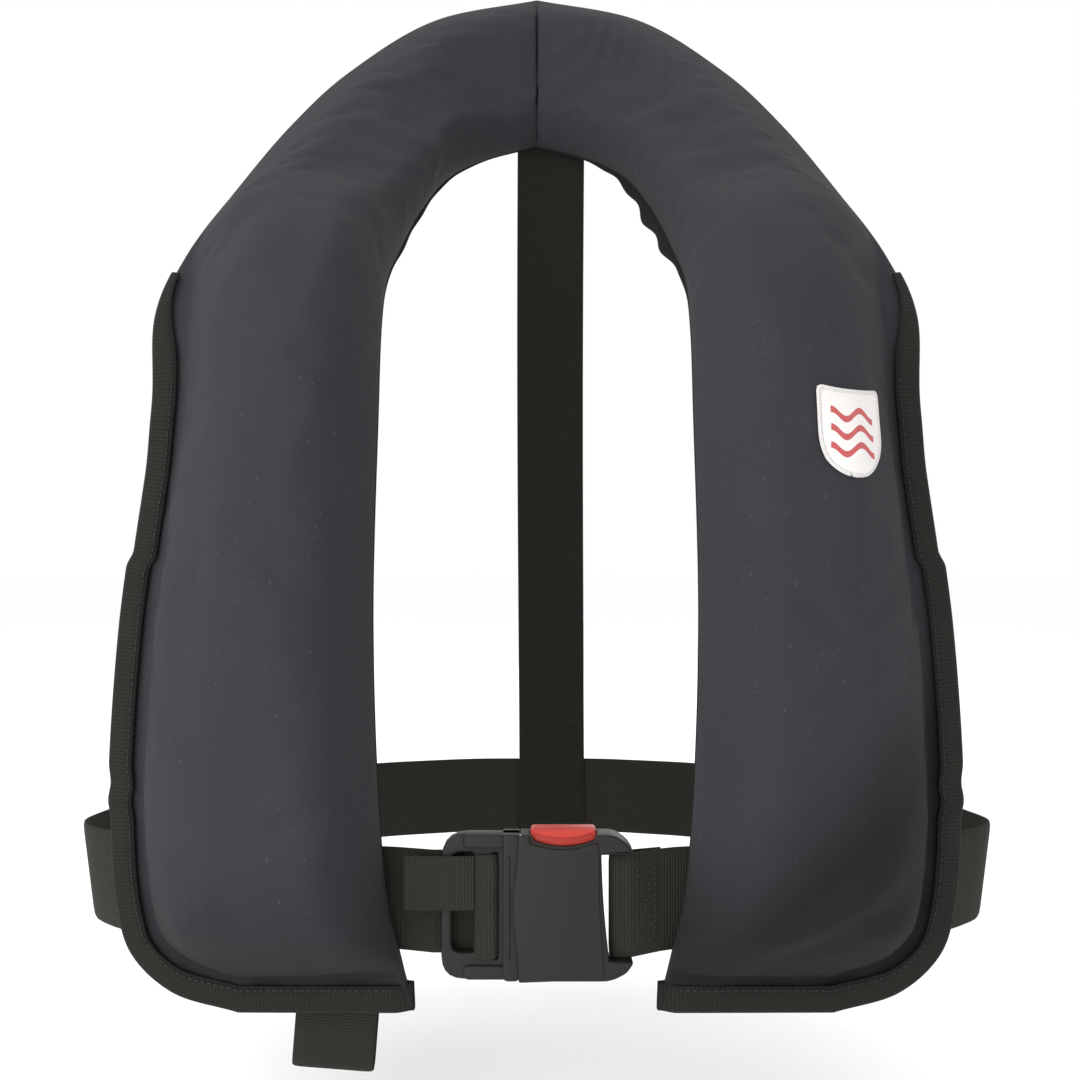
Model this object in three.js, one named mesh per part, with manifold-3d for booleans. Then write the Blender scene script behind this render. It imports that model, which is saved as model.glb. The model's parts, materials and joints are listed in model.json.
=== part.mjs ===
// An inflatable life jacket with its waist belt, drawn as it is worn.
// Millimetres. +Z up, the front faces -Y, and left and right are as seen from the front.
// The origin is the middle of the collar's inner edge, at the nape of the neck.

import * as THREE from "three";
import { mergeVertices } from "three/addons/utils/BufferGeometryUtils.js";
import Module from "manifold-3d";

const wasm = await Module();
wasm.setup();

// ---------------------------------------------------------------- driving sizes

const GAP = 0.3; // between two pieces that touch

// Overall
const halfWidth = 211; // middle line to the widest outer edge
const chestDepth = 225; // nape to the front of the belt
const frontLength = 490; // nape down to the bottom hem
const collarHeight = 107; // nape up to the collar's top edge

// Cover
const panelWall = 1.6; // front panel
const backWall = 1.4; // body-side panel
const lobeRoom = 36; // in front of the folded bladder on the chest, for the inflator and the tube
const collarBulge = 27; // the same, at the neck
const edgeRoll = 24; // radius of the fold along the inner edge
const tapeThickness = 0.9; // each half of the hook and loop fastening
const bindingWidth = 12.5;
const bindingThickness = 1;
const bindingClearance = 1; // the tape stands this far off the panels
const badgeHeight = 40;
const badgeThickness = 0.8;

// Bladder
const bladderFold = 10; // folded thickness on the chest
const bladderCollarFold = 22;
const bladderMargin = 5; // to the cover's inner edge

// Webbing
const webThickness = 1.8;
const beltWidth = 50;
const beltAboveHem = 27.5; // hem up to the belt's lower edge
const beltCornerHalf = 244; // middle line to the belt's fold at the side
const beltCornerBack = 60; // chest back to that fold
const beltBack = 252; // chest to the back run
const backStrapWidth = 44.5;
const backStrapShift = 9.5;
const crotchWidth = 40.5;
const crotchHang = 36; // below the hem
const crotchTilt = 4.5; // degrees
const guideWidth = 42;

// Buckle
const buckleHeight = 70;
const buckleFront = 12; // in front of the belt's front face
const buckleBack = 3; // behind it
const frameThickness = 7.7; // of the bars that the webbing passes behind
const tongueThickness = 5;
const tongueHalf = 15;
const tongueInside = 19.2; // length of the tongue inside the female half
const catchWidth = 6;
const buttonTravel = 3;
const buttonWidth = 32;

// Inflation
const cylinderRadius = 15;
const cylinderLength = 136;
const inflatorRise = 0.24 * frontLength; // hem up to the inflator's middle
const inflatorShare = 0.42; // across the lobe from its inner edge
const stemRadius = 4.5;
const firingTravel = 5;
const leverTurn = 90; // degrees
const oralRise = 0.2 * frontLength;
const oralShare = 0.44;
const oralRadius = 6.5;
const oralBore = 4;
const oralLength = 112;

// ---------------------------------------------------------------- colours

const finish = {
  cover: { color: 0x4a494e, roughness: 0.9 },
  tape: { color: 0x302e2b, roughness: 0.85 },
  webbing: { color: 0x2b2b27, roughness: 0.85 },
  badge: { color: 0xe8e6e2, roughness: 0.8 },
  plastic: { color: 0x3f3c39, roughness: 0.5 },
  red: { color: 0xc14a3c, roughness: 0.5 },
  bladder: { color: 0xd9c21e, roughness: 0.6 },
  reflective: { color: 0xc9ccd0, roughness: 0.3 },
  steel: { color: 0xb5b8bb, roughness: 0.35, metalness: 1 },
  rubber: { color: 0x1d1d1e, roughness: 0.9 },
};

const lobeBulge = bladderFold + lobeRoom; // front panel above its bound edge
const beltZ = -frontLength + beltAboveHem + beltWidth / 2;

const jacket = new THREE.Group();

function place(name, geometry, look, parent = jacket) {
  const mesh = new THREE.Mesh(geometry, new THREE.MeshStandardMaterial(finish[look]));
  mesh.name = name;
  parent.add(mesh);
  return mesh;
}

// ---------------------------------------------------------------- geometry tools

const vec = (x, y, z) => new THREE.Vector3(x, y, z);

function volumeOf(positions, index) {
  const [a, b, c] = [vec(), vec(), vec()];
  let sum = 0;
  for (let i = 0; i < index.length; i += 3) {
    a.fromArray(positions, 3 * index[i]);
    b.fromArray(positions, 3 * index[i + 1]);
    c.fromArray(positions, 3 * index[i + 2]);
    sum += a.dot(b.cross(c)) / 6;
  }
  return sum;
}

function solid(points, index) {
  const positions = points.flatMap((p) => [p.x, p.y, p.z]);
  const faces = index.slice();
  if (volumeOf(positions, faces) < 0) faces.reverse();
  const geometry = new THREE.BufferGeometry();
  geometry.setAttribute("position", new THREE.Float32BufferAttribute(positions, 3));
  geometry.setIndex(faces);
  return geometry;
}

// Joins closed rings of equal length into a skin. The outline is one ring drawn flat, for the two ends.
function loft(rings, outline) {
  const n = rings[0].length;
  const index = [];
  for (let i = 0; i + 1 < rings.length; i++) {
    for (let j = 0; j < n; j++) {
      const k = (j + 1) % n;
      const [a, b, c, d] = [i * n + j, i * n + k, (i + 1) * n + k, (i + 1) * n + j];
      index.push(a, b, c, a, c, d);
    }
  }
  const first = THREE.ShapeUtils.triangulateShape(outline(0), []);
  const last = THREE.ShapeUtils.triangulateShape(outline(rings.length - 1), []);
  const turn = THREE.ShapeUtils.isClockWise(outline(0)) ? 1 : -1;
  const base = (rings.length - 1) * n;
  for (const [a, b, c] of first) index.push(...(turn > 0 ? [a, b, c] : [c, b, a]));
  for (const [a, b, c] of last) {
    index.push(...(turn > 0 ? [c, b, a] : [a, b, c]).map((v) => base + v));
  }
  return solid(rings.flat(), index);
}

function bare(geometry) {
  const copy = geometry.clone();
  copy.deleteAttribute("normal");
  copy.deleteAttribute("uv");
  return copy;
}

function mirrored(geometry) {
  const copy = mergeVertices(bare(geometry), 1e-4);
  copy.scale(-1, 1, 1);
  return copy.setIndex(Array.from(copy.index.array).reverse());
}

function toManifold(geometry) {
  const merged = mergeVertices(bare(geometry), 1e-4);
  return new wasm.Manifold(
    new wasm.Mesh({
      numProp: 3,
      vertProperties: new Float32Array(merged.attributes.position.array),
      triVerts: new Uint32Array(merged.index.array),
    }),
  );
}

function fromManifold(manifold) {
  const mesh = manifold.getMesh();
  const geometry = new THREE.BufferGeometry();
  geometry.setAttribute("position", new THREE.BufferAttribute(mesh.vertProperties, 3));
  geometry.setIndex(new THREE.BufferAttribute(mesh.triVerts, 1));
  return geometry;
}

function cut(geometry, ...tools) {
  return fromManifold(tools.reduce((m, t) => m.subtract(toManifold(t)), toManifold(geometry)));
}

function join(geometry, ...others) {
  return fromManifold(others.reduce((m, t) => m.add(toManifold(t)), toManifold(geometry)));
}

function box(x0, x1, y0, y1, z0, z1) {
  const geometry = new THREE.BoxGeometry(x1 - x0, y1 - y0, z1 - z0);
  return geometry.translate((x0 + x1) / 2, (y0 + y1) / 2, (z0 + z1) / 2);
}

// A round rod along an axis name, from one place on that axis to another.
function rod(axis, radius, from, to, x = 0, y = 0, z = 0, sides = 16) {
  const geometry = new THREE.CylinderGeometry(radius, radius, to - from, sides);
  geometry.translate(0, (from + to) / 2, 0);
  if (axis === "z") geometry.rotateX(Math.PI / 2);
  if (axis === "x") geometry.rotateZ(-Math.PI / 2);
  return geometry.translate(x, y, z);
}

// A shape drawn in X and Z, as thick as from yFront back to yBack.
function slab(shape, yFront, yBack) {
  const geometry = new THREE.ExtrudeGeometry(shape, {
    depth: yBack - yFront,
    bevelEnabled: false,
    curveSegments: 5,
  });
  return geometry.rotateX(Math.PI / 2).translate(0, yBack, 0);
}

// The outline of a band that follows a line of points.
function band(points, thickness) {
  const side = (sign) =>
    points.map((p, i) => {
      const before = points[Math.max(i - 1, 0)];
      const after = points[Math.min(i + 1, points.length - 1)];
      const a = p.clone().sub(before).normalize();
      const b = after.clone().sub(p).normalize();
      if (i === 0) a.copy(b);
      if (i === points.length - 1) b.copy(a);
      const mid = a.clone().add(b).normalize();
      const reach = thickness / 2 / Math.max(mid.dot(a), 0.4);
      return vec2(p.x - sign * mid.y * reach, p.y + sign * mid.x * reach);
    });
  return new THREE.Shape([...side(1), ...side(-1).reverse()]);
}

const vec2 = (x, y) => new THREE.Vector2(x, y);

function extruded(shape, depth) {
  return new THREE.ExtrudeGeometry(shape, { depth, bevelEnabled: false, curveSegments: 6 });
}

// Webbing laid on edge along a line in X and Y.
const flatBelt = (points, width, zMiddle, thickness = webThickness) =>
  extruded(band(points, thickness), width).translate(0, 0, zMiddle - width / 2);

// Webbing hung along a line in Y and Z, as wide as width in X.
function hungStrap(points, width, xMiddle, thickness = webThickness) {
  const geometry = extruded(band(points, thickness), width);
  geometry.applyMatrix4(new THREE.Matrix4().makeBasis(vec(0, 1, 0), vec(0, 0, 1), vec(1, 0, 0)));
  return geometry.translate(xMiddle - width / 2, 0, 0);
}

function coil(radius, wire, from, to, turns) {
  const steps = turns * 8;
  const points = [];
  for (let i = 0; i <= steps; i++) {
    const angle = (2 * Math.PI * turns * i) / steps;
    points.push(vec(radius * Math.cos(angle), radius * Math.sin(angle), from + ((to - from) * i) / steps));
  }
  const section = new THREE.Shape();
  section.absarc(0, 0, wire, 0, 2 * Math.PI);
  return new THREE.ExtrudeGeometry(section, {
    steps,
    curveSegments: 3,
    bevelEnabled: false,
    extrudePath: new THREE.CatmullRomCurve3(points),
  });
}

const turned = (profile, sides = 20) =>
  new THREE.LatheGeometry(profile.map(([r, z]) => vec2(r, z)), sides).rotateX(Math.PI / 2);

// ---------------------------------------------------------------- the cover's surface

// The pattern of one half: the inner and the outer edge from the hem up to the nape.
// It is drawn for the sizes below and graded to the driving sizes.
const drawn = { halfWidth: 211, chestDepth: 225, frontLength: 490, collarHeight: 109 };
const pattern = [
  { inner: [59, -221, -490], outer: [146, -210, -494] },
  { inner: [63, -222, -476], outer: [180, -204, -486] },
  { inner: [66, -224, -462], outer: [201, -201, -468] },
  { inner: [71, -225, -441], outer: [208, -200, -446] },
  { inner: [75, -229, -397], outer: [211, -200, -399] },
  { inner: [78, -231, -302], outer: [205, -202, -307] },
  { inner: [76, -227, -200], outer: [190, -202, -196] },
  { inner: [77, -207, -155], outer: [192, -192, -150] },
  { inner: [78, -177, -127], outer: [185, -169, -114] },
  { inner: [76, -135, -101], outer: [170, -132, -71] },
  { inner: [69, -90, -67.5], outer: [148, -87, -18] },
  { inner: [55, -45, -34], outer: [121, -39, 33] },
  { inner: [31.5, -13, -12], outer: [69, 7, 87] },
  { inner: [0, 0, 0], outer: [0, 25, 109] },
];

function graded([x, y, z]) {
  const up = z > 0 ? collarHeight / drawn.collarHeight : frontLength / drawn.frontLength;
  return vec((x * halfWidth) / drawn.halfWidth, (y * chestDepth) / drawn.chestDepth, z * up);
}

const curveOf = (edge) => new THREE.CatmullRomCurve3(pattern.map((row) => graded(row[edge])));
const innerEdge = curveOf("inner");
const outerEdge = curveOf("outer");

const shoulder = 0.6; // how far up the edge the binding runs
const tapeStack = 3 * GAP + 2 * tapeThickness; // the bound edge's hook and loop tapes
const neckGap = GAP / 2; // each half stops this far from the middle line

// The edge plane's own axes: across from the inner to the outer edge, and out to the front.
function frameAt(v) {
  const inner = innerEdge.getPoint(v);
  const outer = outerEdge.getPoint(v);
  const across = outer.clone().sub(inner);
  const width = across.length();
  across.normalize();
  const step = 1e-3;
  const [lo, hi] = [Math.max(v - step, 0), Math.min(v + step, 1)];
  const middle = (t) => innerEdge.getPoint(t).lerp(outerEdge.getPoint(t), 0.5);
  const along = v > 1 - step ? vec(-1, 0, 0) : middle(hi).sub(middle(lo)).normalize();
  const front = across.clone().cross(along).normalize();
  return { inner, outer, across, width, front };
}

function pointOn(frame, a, b) {
  const p = frame.inner.clone().addScaledVector(frame.across, a).addScaledVector(frame.front, b);
  p.x = Math.max(p.x, neckGap);
  return p;
}

const smooth = (t) => {
  const s = Math.min(Math.max(t, 0), 1);
  return s * s * (3 - 2 * s);
};
const mix = (a, b, t) => a + (b - a) * t;

// Where the panels are drawn: up the half from the hem to the nape.
const stations = [
  0, 0.012, 0.03, 0.05, 0.07, 0.09, 0.12, 0.16, 0.205, 0.255, 0.3, 0.345, 0.39, 0.435, 0.48, 0.52,
  0.56, 0.6, 0.635, 0.67, 0.705, 0.74, 0.775, 0.81, 0.845, 0.88, 0.915, 0.945, 0.975, 1,
];

// The bound edge: along the hem from its inner corner, round the outer corner, and up the side.
const hemSteps = 8;
function boundEdge(reach = shoulder) {
  const stops = [];
  const hem = frameAt(0);
  for (let i = 0; i < hemSteps; i++) {
    stops.push({ frame: hem, at: pointOn(hem, (hem.width * i) / hemSteps, 0) });
  }
  for (const v of stations.filter((t) => t <= reach)) {
    const frame = frameAt(v);
    stops.push({ frame, at: frame.outer.clone(), side: v > 0.1 });
  }
  return stops;
}

const edgeLine = boundEdge(1).map((stop) => stop.at);

function distanceToEdge(point) {
  const line = new THREE.Line3();
  const nearest = vec();
  let best = Infinity;
  for (let i = 0; i + 1 < edgeLine.length; i++) {
    line.set(edgeLine[i], edgeLine[i + 1]).closestPointToPoint(point, true, nearest);
    best = Math.min(best, nearest.distanceTo(point));
  }
  return best;
}

// The flat margin inside the edge, under the binding.
const flatAt = (v) => mix(bindingWidth + 6, 1.5, smooth((v - shoulder - 0.02) / 0.12));

// Across the front panel: shares of the bulged part, then the flat margin.
const spans = [0, 0.02, 0.06, 0.13, 0.26, 0.45, 0.66, 0.85, 1];
function acrossPanel(frame, v) {
  return [...spans.map((u) => u * (frame.width - flatAt(v))), frame.width];
}

// How far the packed lobe stands in front of its edge plane, a from the inner edge.
function bulge(frame, v, a) {
  const collar = smooth((v - 0.5) / 0.3);
  const flat = flatAt(v);
  const rise = mix(62, 38, collar);
  const toEdge = distanceToEdge(frame.inner.clone().addScaledVector(frame.across, a));
  const out = Math.sin((Math.PI / 2) * Math.min(Math.max((toEdge - flat) / rise, 0), 1)) ** 0.8;
  const roll = mix(edgeRoll, edgeRoll * 0.8, collar);
  const inset = 1 - Math.min(Math.max(a / roll, 0), 1);
  return mix(lobeBulge, collarBulge, collar) * out * Math.sqrt(1 - inset * inset);
}

// How far up the half the inner edge reaches a height.
function vOfHeight(z, share = 0) {
  let [lo, hi] = [0, 0.6];
  for (let i = 0; i < 30; i++) {
    const mid = (lo + hi) / 2;
    if (mix(innerEdge.getPoint(mid).z, outerEdge.getPoint(mid).z, share) < z) lo = mid;
    else hi = mid;
  }
  return lo;
}

// ---------------------------------------------------------------- cover

// A shell whose section is the bulged panel, turned down on the back panel along the inner edge.
function frontPanel() {
  const profile = (v) => {
    const frame = frameAt(v);
    const high = (a) => tapeStack + bulge(frame, v, a);
    const outside = acrossPanel(frame, v).map((a) => [a, high(a) + panelWall]);
    const inside = acrossPanel(frame, v).map((at) => {
      const a = panelWall + at * (1 - panelWall / frame.width);
      return [a, Math.min(high(a), high(a - panelWall))];
    });
    return [...outside.reverse(), [0, GAP], [panelWall, GAP], ...inside];
  };
  const rings = stations.map((v) => profile(v).map(([a, b]) => pointOn(frameAt(v), a, b)));
  return loft(rings, (i) => profile(stations[i]).map(([a, b]) => vec2(a, b)));
}

function backPanel() {
  const across = [0, 0.12, 0.3, 0.5, 0.7, 0.88, 1];
  const profile = (width) => [
    ...across.map((u) => [u * width, 0]),
    ...across.map((u) => [u * width, -backWall]).reverse(),
  ];
  const rings = stations.map((v) => {
    const frame = frameAt(v);
    return profile(frame.width).map(([a, b]) => pointOn(frame, a, b));
  });
  return loft(rings, () => profile(100).map(([a, b]) => vec2(a, b)));
}

// A channel of tape folded over the bound edge.
function binding() {
  const outerB = tapeStack + panelWall + bindingClearance + 3 * GAP;
  const innerB = -backWall - bindingClearance;
  const t = bindingThickness;
  const profile = [
    [-bindingClearance - t, innerB - t],
    [bindingWidth, innerB - t],
    [bindingWidth, innerB],
    [-bindingClearance, innerB],
    [-bindingClearance, outerB],
    [bindingWidth, outerB],
    [bindingWidth, outerB + t],
    [-bindingClearance - t, outerB + t],
  ];
  const stops = boundEdge();
  const rings = stops.map((stop, i) => {
    const before = stops[Math.max(i - 1, 0)].at;
    const after = stops[Math.min(i + 1, stops.length - 1)].at;
    const along = after.clone().sub(before).normalize();
    const inward = stop.frame.front.clone().cross(along).normalize();
    if (inward.dot(stop.frame.across) > 0.5) inward.negate();
    if (stop.side) inward.copy(stop.frame.across).negate();
    return profile.map(([d, b]) =>
      stop.at.clone().addScaledVector(inward, d).addScaledVector(stop.frame.front, b),
    );
  });
  return loft(rings, () => profile.map(([d, b]) => vec2(d, b)));
}

// A flat tape inside the bound side, from d0 to d1 in from the edge, at a height over the back panel.
function sideTape(level) {
  const [d0, d1] = [1, bindingWidth - 1];
  const marks = stations.filter((v) => v >= 0.12 && v <= shoulder);
  const profile = [[d1, level], [d0, level], [d0, level + tapeThickness], [d1, level + tapeThickness]];
  const rings = marks.map((v) => {
    const frame = frameAt(v);
    return profile.map(([d, b]) => pointOn(frame, frame.width - d, b));
  });
  return loft(rings, () => profile.map(([d, b]) => vec2(-d, b)));
}

for (const [side, shape] of [["right", (g) => g], ["left", mirrored]]) {
  place(`cover_front_${side}`, shape(frontPanel()), "cover");
  place(`cover_back_${side}`, shape(backPanel()), "cover");
  place(`edge_binding_${side}`, shape(binding()), "tape");
  place(`loop_strip_${side}`, shape(sideTape(GAP)), "tape");
  place(`hook_strip_${side}`, shape(sideTape(2 * GAP + tapeThickness)), "tape");
}

// A thin patch that follows the bulged panel.
function patchOn(height, vs, us, thickness) {
  const line = (v) => us.map((u) => [v, u]);
  const lift = (v, u, extra) => {
    const frame = frameAt(v);
    const a = u * frame.width;
    return pointOn(frame, a, height(frame, v, a) + extra);
  };
  const rings = vs.map((v) => [
    ...line(v).map(([w, u]) => lift(w, u, thickness)),
    ...line(v).reverse().map(([w, u]) => lift(w, u, 0)),
  ]);
  const outline = (i) => {
    const frame = frameAt(vs[i]);
    const at = (u, extra) => vec2(u * frame.width, height(frame, vs[i], u * frame.width) + extra);
    return [...us.map((u) => at(u, thickness)), ...us.slice().reverse().map((u) => at(u, 0))];
  };
  return loft(rings, outline);
}

const badgeMiddle = 0.452;
const badgeHalf = (badgeHeight / 2 / frontLength) * 0.69;
place(
  "badge_patch",
  patchOn(
    (frame, v, a) => tapeStack + panelWall + 0.9 + bulge(frame, v, a),
    [-1, -0.5, 0, 0.5, 1].map((k) => badgeMiddle + k * badgeHalf),
    [0.55, 0.6, 0.65, 0.7, 0.75, 0.8],
    badgeThickness,
  ),
  "badge",
);

// ---------------------------------------------------------------- bladder

const bladderSpans = [0, 0.03, 0.12, 0.3, 0.5, 0.7, 0.88, 1];
const bladderEdge = bindingWidth + 9;
const bladderStart = 0.16;
const bladderSeat = 1; // over the back panel
const bladderStations = stations.filter((v) => v >= bladderStart);

function bladderTop(frame, v, a) {
  const fold = mix(bladderFold, bladderCollarFold, smooth((v - 0.56) / 0.22));
  const width = frame.width - bladderEdge - bladderMargin;
  const t = Math.min(Math.max((a - bladderMargin) / width, 0), 1);
  return bladderSeat + 1.5 + (fold - 2.5) * Math.sin(Math.PI * t) ** 0.5;
}

function bladder() {
  const profile = (v) => {
    const frame = frameAt(v);
    const at = (u) => bladderMargin + u * (frame.width - bladderEdge - bladderMargin);
    return [
      ...bladderSpans.map((u) => [at(u), bladderTop(frame, v, at(u))]),
      ...bladderSpans.slice().reverse().map((u) => [at(u), bladderSeat]),
    ];
  };
  const half = bladderStations.map((v) =>
    profile(v).map(([a, b]) => {
      const p = pointOn(frameAt(v), a, b);
      if (v === 1) p.x = 0;
      return p;
    }),
  );
  const other = half.slice(0, -1).reverse();
  const rings = [...half, ...other.map((ring) => ring.map((p) => vec(-p.x, p.y, p.z)))];
  return loft(rings, () => profile(bladderStart).map(([a, b]) => vec2(a, b)));
}
place("bladder", bladder(), "bladder");

const reflective = patchOn(
  (frame, v, a) => bladderTop(frame, v, a) + 2 * GAP,
  bladderStations.filter((v) => v > 0.54 && v < 0.64),
  [0.3, 0.4, 0.5, 0.6, 0.68],
  0.5,
);
place("reflective_patch_right", reflective, "reflective");
place("reflective_patch_left", mirrored(reflective), "reflective");

// ---------------------------------------------------------------- waist belt

const beltFrame = frameAt(vOfHeight(beltZ - beltWidth / 2));
const behindLobe = backWall + bindingClearance + bindingThickness + 2 * GAP + webThickness / 2;
const beltAtInner = pointOn(beltFrame, 4, -behindLobe);
const beltAtOuter = pointOn(beltFrame, beltFrame.width + 6, -behindLobe);
const beltY = -chestDepth + webThickness / 2; // middle of the belt's thickness at the buckle
const guideAt = 0.58; // share of the lobe's width
const beltAtGuide = pointOn(beltFrame, guideAt * beltFrame.width, -behindLobe);

const backHalf = [
  [beltCornerHalf, -chestDepth + beltCornerBack],
  [beltCornerHalf * 0.955, -chestDepth + mix(beltCornerBack, beltBack, 0.26)],
  [beltCornerHalf * 0.85, -chestDepth + mix(beltCornerBack, beltBack, 0.53)],
  [beltCornerHalf * 0.66, -chestDepth + mix(beltCornerBack, beltBack, 0.76)],
  [beltCornerHalf * 0.42, -chestDepth + mix(beltCornerBack, beltBack, 0.92)],
  [backStrapShift + backStrapWidth * 0.75, -chestDepth + beltBack],
];

// Local buckle axes: x along the belt, y back from the belt's front face, z up.
const barLeft = 37.5; // the bar that the sewn end goes round
const barWidth = 4;
const barY = -2.5;
const wrap = 2 * GAP + webThickness / 2;
const buckleY = (y) => y - chestDepth;

const sewnEnd = [
  vec2(61, buckleY(6.4)),
  vec2(barLeft + 8, buckleY(barY + 2 + wrap)),
  vec2(barLeft - 0.2, buckleY(barY + 2 + wrap)),
  vec2(barLeft - wrap, buckleY(barY + 1.8)),
  vec2(barLeft - wrap, buckleY(barY - 1.8)),
  vec2(barLeft - 0.2, buckleY(barY - 2 - wrap)),
  vec2(barLeft + 8, buckleY(barY - 2 - wrap)),
  vec2(60.5, buckleY(3)),
];
const mirror2 = (p) => vec2(-p.x, p.y);
const lobeRun = [beltAtInner, beltAtOuter].map((p) => vec2(p.x, p.y));
const backRun = backHalf.map(([x, y]) => vec2(x, y));
const guidePoint = vec2(beltAtGuide.x, beltAtGuide.y);
const shortOf = (p, q, gap) => p.clone().add(q.clone().sub(p).setLength(gap));

place(
  "waist_belt",
  flatBelt(
    [
      ...sewnEnd,
      ...lobeRun,
      ...backRun,
      ...backRun.map(mirror2).reverse(),
      mirror2(lobeRun[1]),
      mirror2(guidePoint),
    ],
    beltWidth,
    beltZ,
  ),
  "webbing",
);

const middleBar = [-29.5, -20.5]; // the bar that the adjustable end goes over
const frontPly = -frameThickness - 2 * GAP - webThickness / 2;
const adjustLine = [
  shortOf(mirror2(guidePoint), mirror2(lobeRun[0]), GAP),
  mirror2(lobeRun[0]),
  vec2(-60, buckleY(4)),
  vec2(-50, beltY),
  vec2(middleBar[1] + 0.3, beltY),
  vec2(middleBar[1] + wrap, beltY - 1.3),
  vec2(middleBar[1] + wrap, buckleY(frontPly + 1.3)),
  vec2(middleBar[1] + 0.3, buckleY(frontPly)),
  vec2(middleBar[0] + 0.5, buckleY(frontPly)),
];
place("belt_adjust_end", flatBelt(adjustLine, beltWidth, beltZ), "webbing");

const tailWidth = 26;
const tailRise = 11.5; // the tail lies in the upper half of the belt
const tailLine = [
  vec2(middleBar[0] + 0.5 - GAP, buckleY(frontPly)),
  vec2(-35.5, buckleY(frontPly + 1.6)),
  vec2(-40.5, buckleY(frontPly - 0.2)),
  vec2(-46, buckleY(frontPly - 0.2)),
  vec2(-57, buckleY(-4)),
  vec2(-63, buckleY(-1.2)),
];
place("belt_tail", flatBelt(tailLine, tailWidth, beltZ + tailRise), "webbing");

// Guides: a loop of webbing behind each lobe that holds the belt against it.
function beltGuide() {
  const over = beltWidth / 2 + 3;
  const sewn = 11.5;
  const middle = beltAtGuide.y;
  const rest = (z) => {
    const frame = frameAt(vOfHeight(beltZ + z, guideAt));
    const face = pointOn(frame, guideAt * frame.width, -backWall - 2 * GAP - webThickness / 2);
    return vec2(face.y - middle, z);
  };
  const away = webThickness + GAP;
  const line = [
    rest(over + sewn),
    rest(over + 2),
    vec2(away, over - 2),
    vec2(away, -over + 1),
    rest(-over - 3).add(vec2(4 * GAP, 0)),
    rest(-over - sewn).add(vec2(4 * GAP, 0)),
  ];
  const geometry = hungStrap(line, guideWidth, 0);
  geometry.rotateZ(Math.atan2(beltFrame.across.y, beltFrame.across.x));
  return geometry.translate(beltAtGuide.x, middle, beltZ);
}
place("belt_guide_right", beltGuide(), "webbing");
place("belt_guide_left", mirrored(beltGuide()), "webbing");

// ---------------------------------------------------------------- back strap and crotch-strap loop

const collarFrame = frameAt(1);
const strapSewn = 34; // up the back of the collar
const onCollar = (a) => {
  const p = pointOn(collarFrame, a, -backWall - GAP - webThickness / 2);
  return vec2(p.y, p.z);
};
const backFace = -chestDepth + beltBack - webThickness / 2;
const strapTurn = backFace - GAP - webThickness / 2;
const strapReturn = backFace + webThickness + GAP + webThickness / 2;
const under = beltZ - beltWidth / 2 - 5 * GAP - webThickness / 2;
place(
  "back_strap",
  hungStrap(
    [
      onCollar(strapSewn),
      onCollar(2),
      onCollar(-6).add(vec2(0.6, 0)),
      vec2(strapTurn, beltZ + beltWidth),
      vec2(strapTurn, under + 0.8),
      vec2((strapTurn + strapReturn) / 2, under),
      vec2(strapReturn, under + 0.8),
      vec2(strapReturn, beltZ + beltWidth / 2 + 6),
      vec2(strapTurn + webThickness + 2 * GAP, beltZ + beltWidth / 2 + 14),
      vec2(strapTurn + webThickness + GAP, beltZ + beltWidth + 8),
    ],
    backStrapWidth,
    backStrapShift,
  ),
  "webbing",
);

const hemFrame = frameAt(0);
const crotchFrame = frameAt(0.04);
const crotchA = 0.46 * hemFrame.width;
function crotchLoop() {
  const hem = pointOn(hemFrame, crotchA, 0);
  const behind = pointOn(crotchFrame, crotchA, 0).y;
  const rest = backWall + bindingClearance + bindingThickness + GAP + webThickness / 2 + 2.8;
  const opening = 7.5;
  const [front, rear] = [behind + rest, behind + rest + opening + webThickness];
  const low = -crotchHang + webThickness / 2;
  const line = [
    vec2(front, beltAboveHem - 3),
    vec2(front, low + 4),
    vec2(front + 1.4, low + 1.2),
    vec2((front + rear) / 2, low),
    vec2(rear - 1.4, low + 1.2),
    vec2(rear, low + 4),
    vec2(rear, -6),
    vec2(front + webThickness + 2 * GAP, 12),
    vec2(front + webThickness + GAP, beltAboveHem - 5),
  ];
  const geometry = hungStrap(line, crotchWidth, 0);
  geometry.rotateY(THREE.MathUtils.degToRad(crotchTilt));
  return geometry.translate(-hem.x, 0, hem.z);
}
place("crotch_strap_loop", crotchLoop(), "webbing");

// ---------------------------------------------------------------- buckle

const buckle = new THREE.Group();
buckle.position.set(1.7, -chestDepth, beltZ);
jacket.add(buckle);
const halfHigh = buckleHeight / 2;
const webHalf = beltWidth / 2 + 0.8;

function polygon(points) {
  return new THREE.Shape(points.map(([x, z]) => vec2(x, z)));
}

function hole(shape, x0, x1, z0, z1) {
  const path = new THREE.Path([vec2(x0, z0), vec2(x1, z0), vec2(x1, z1), vec2(x0, z1)]);
  shape.holes.push(path);
  return shape;
}

const mouthX = -9; // the female half's open end
const tongueTip = mouthX + tongueInside;
const catchX = tongueTip - catchWidth - 4.3;

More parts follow.
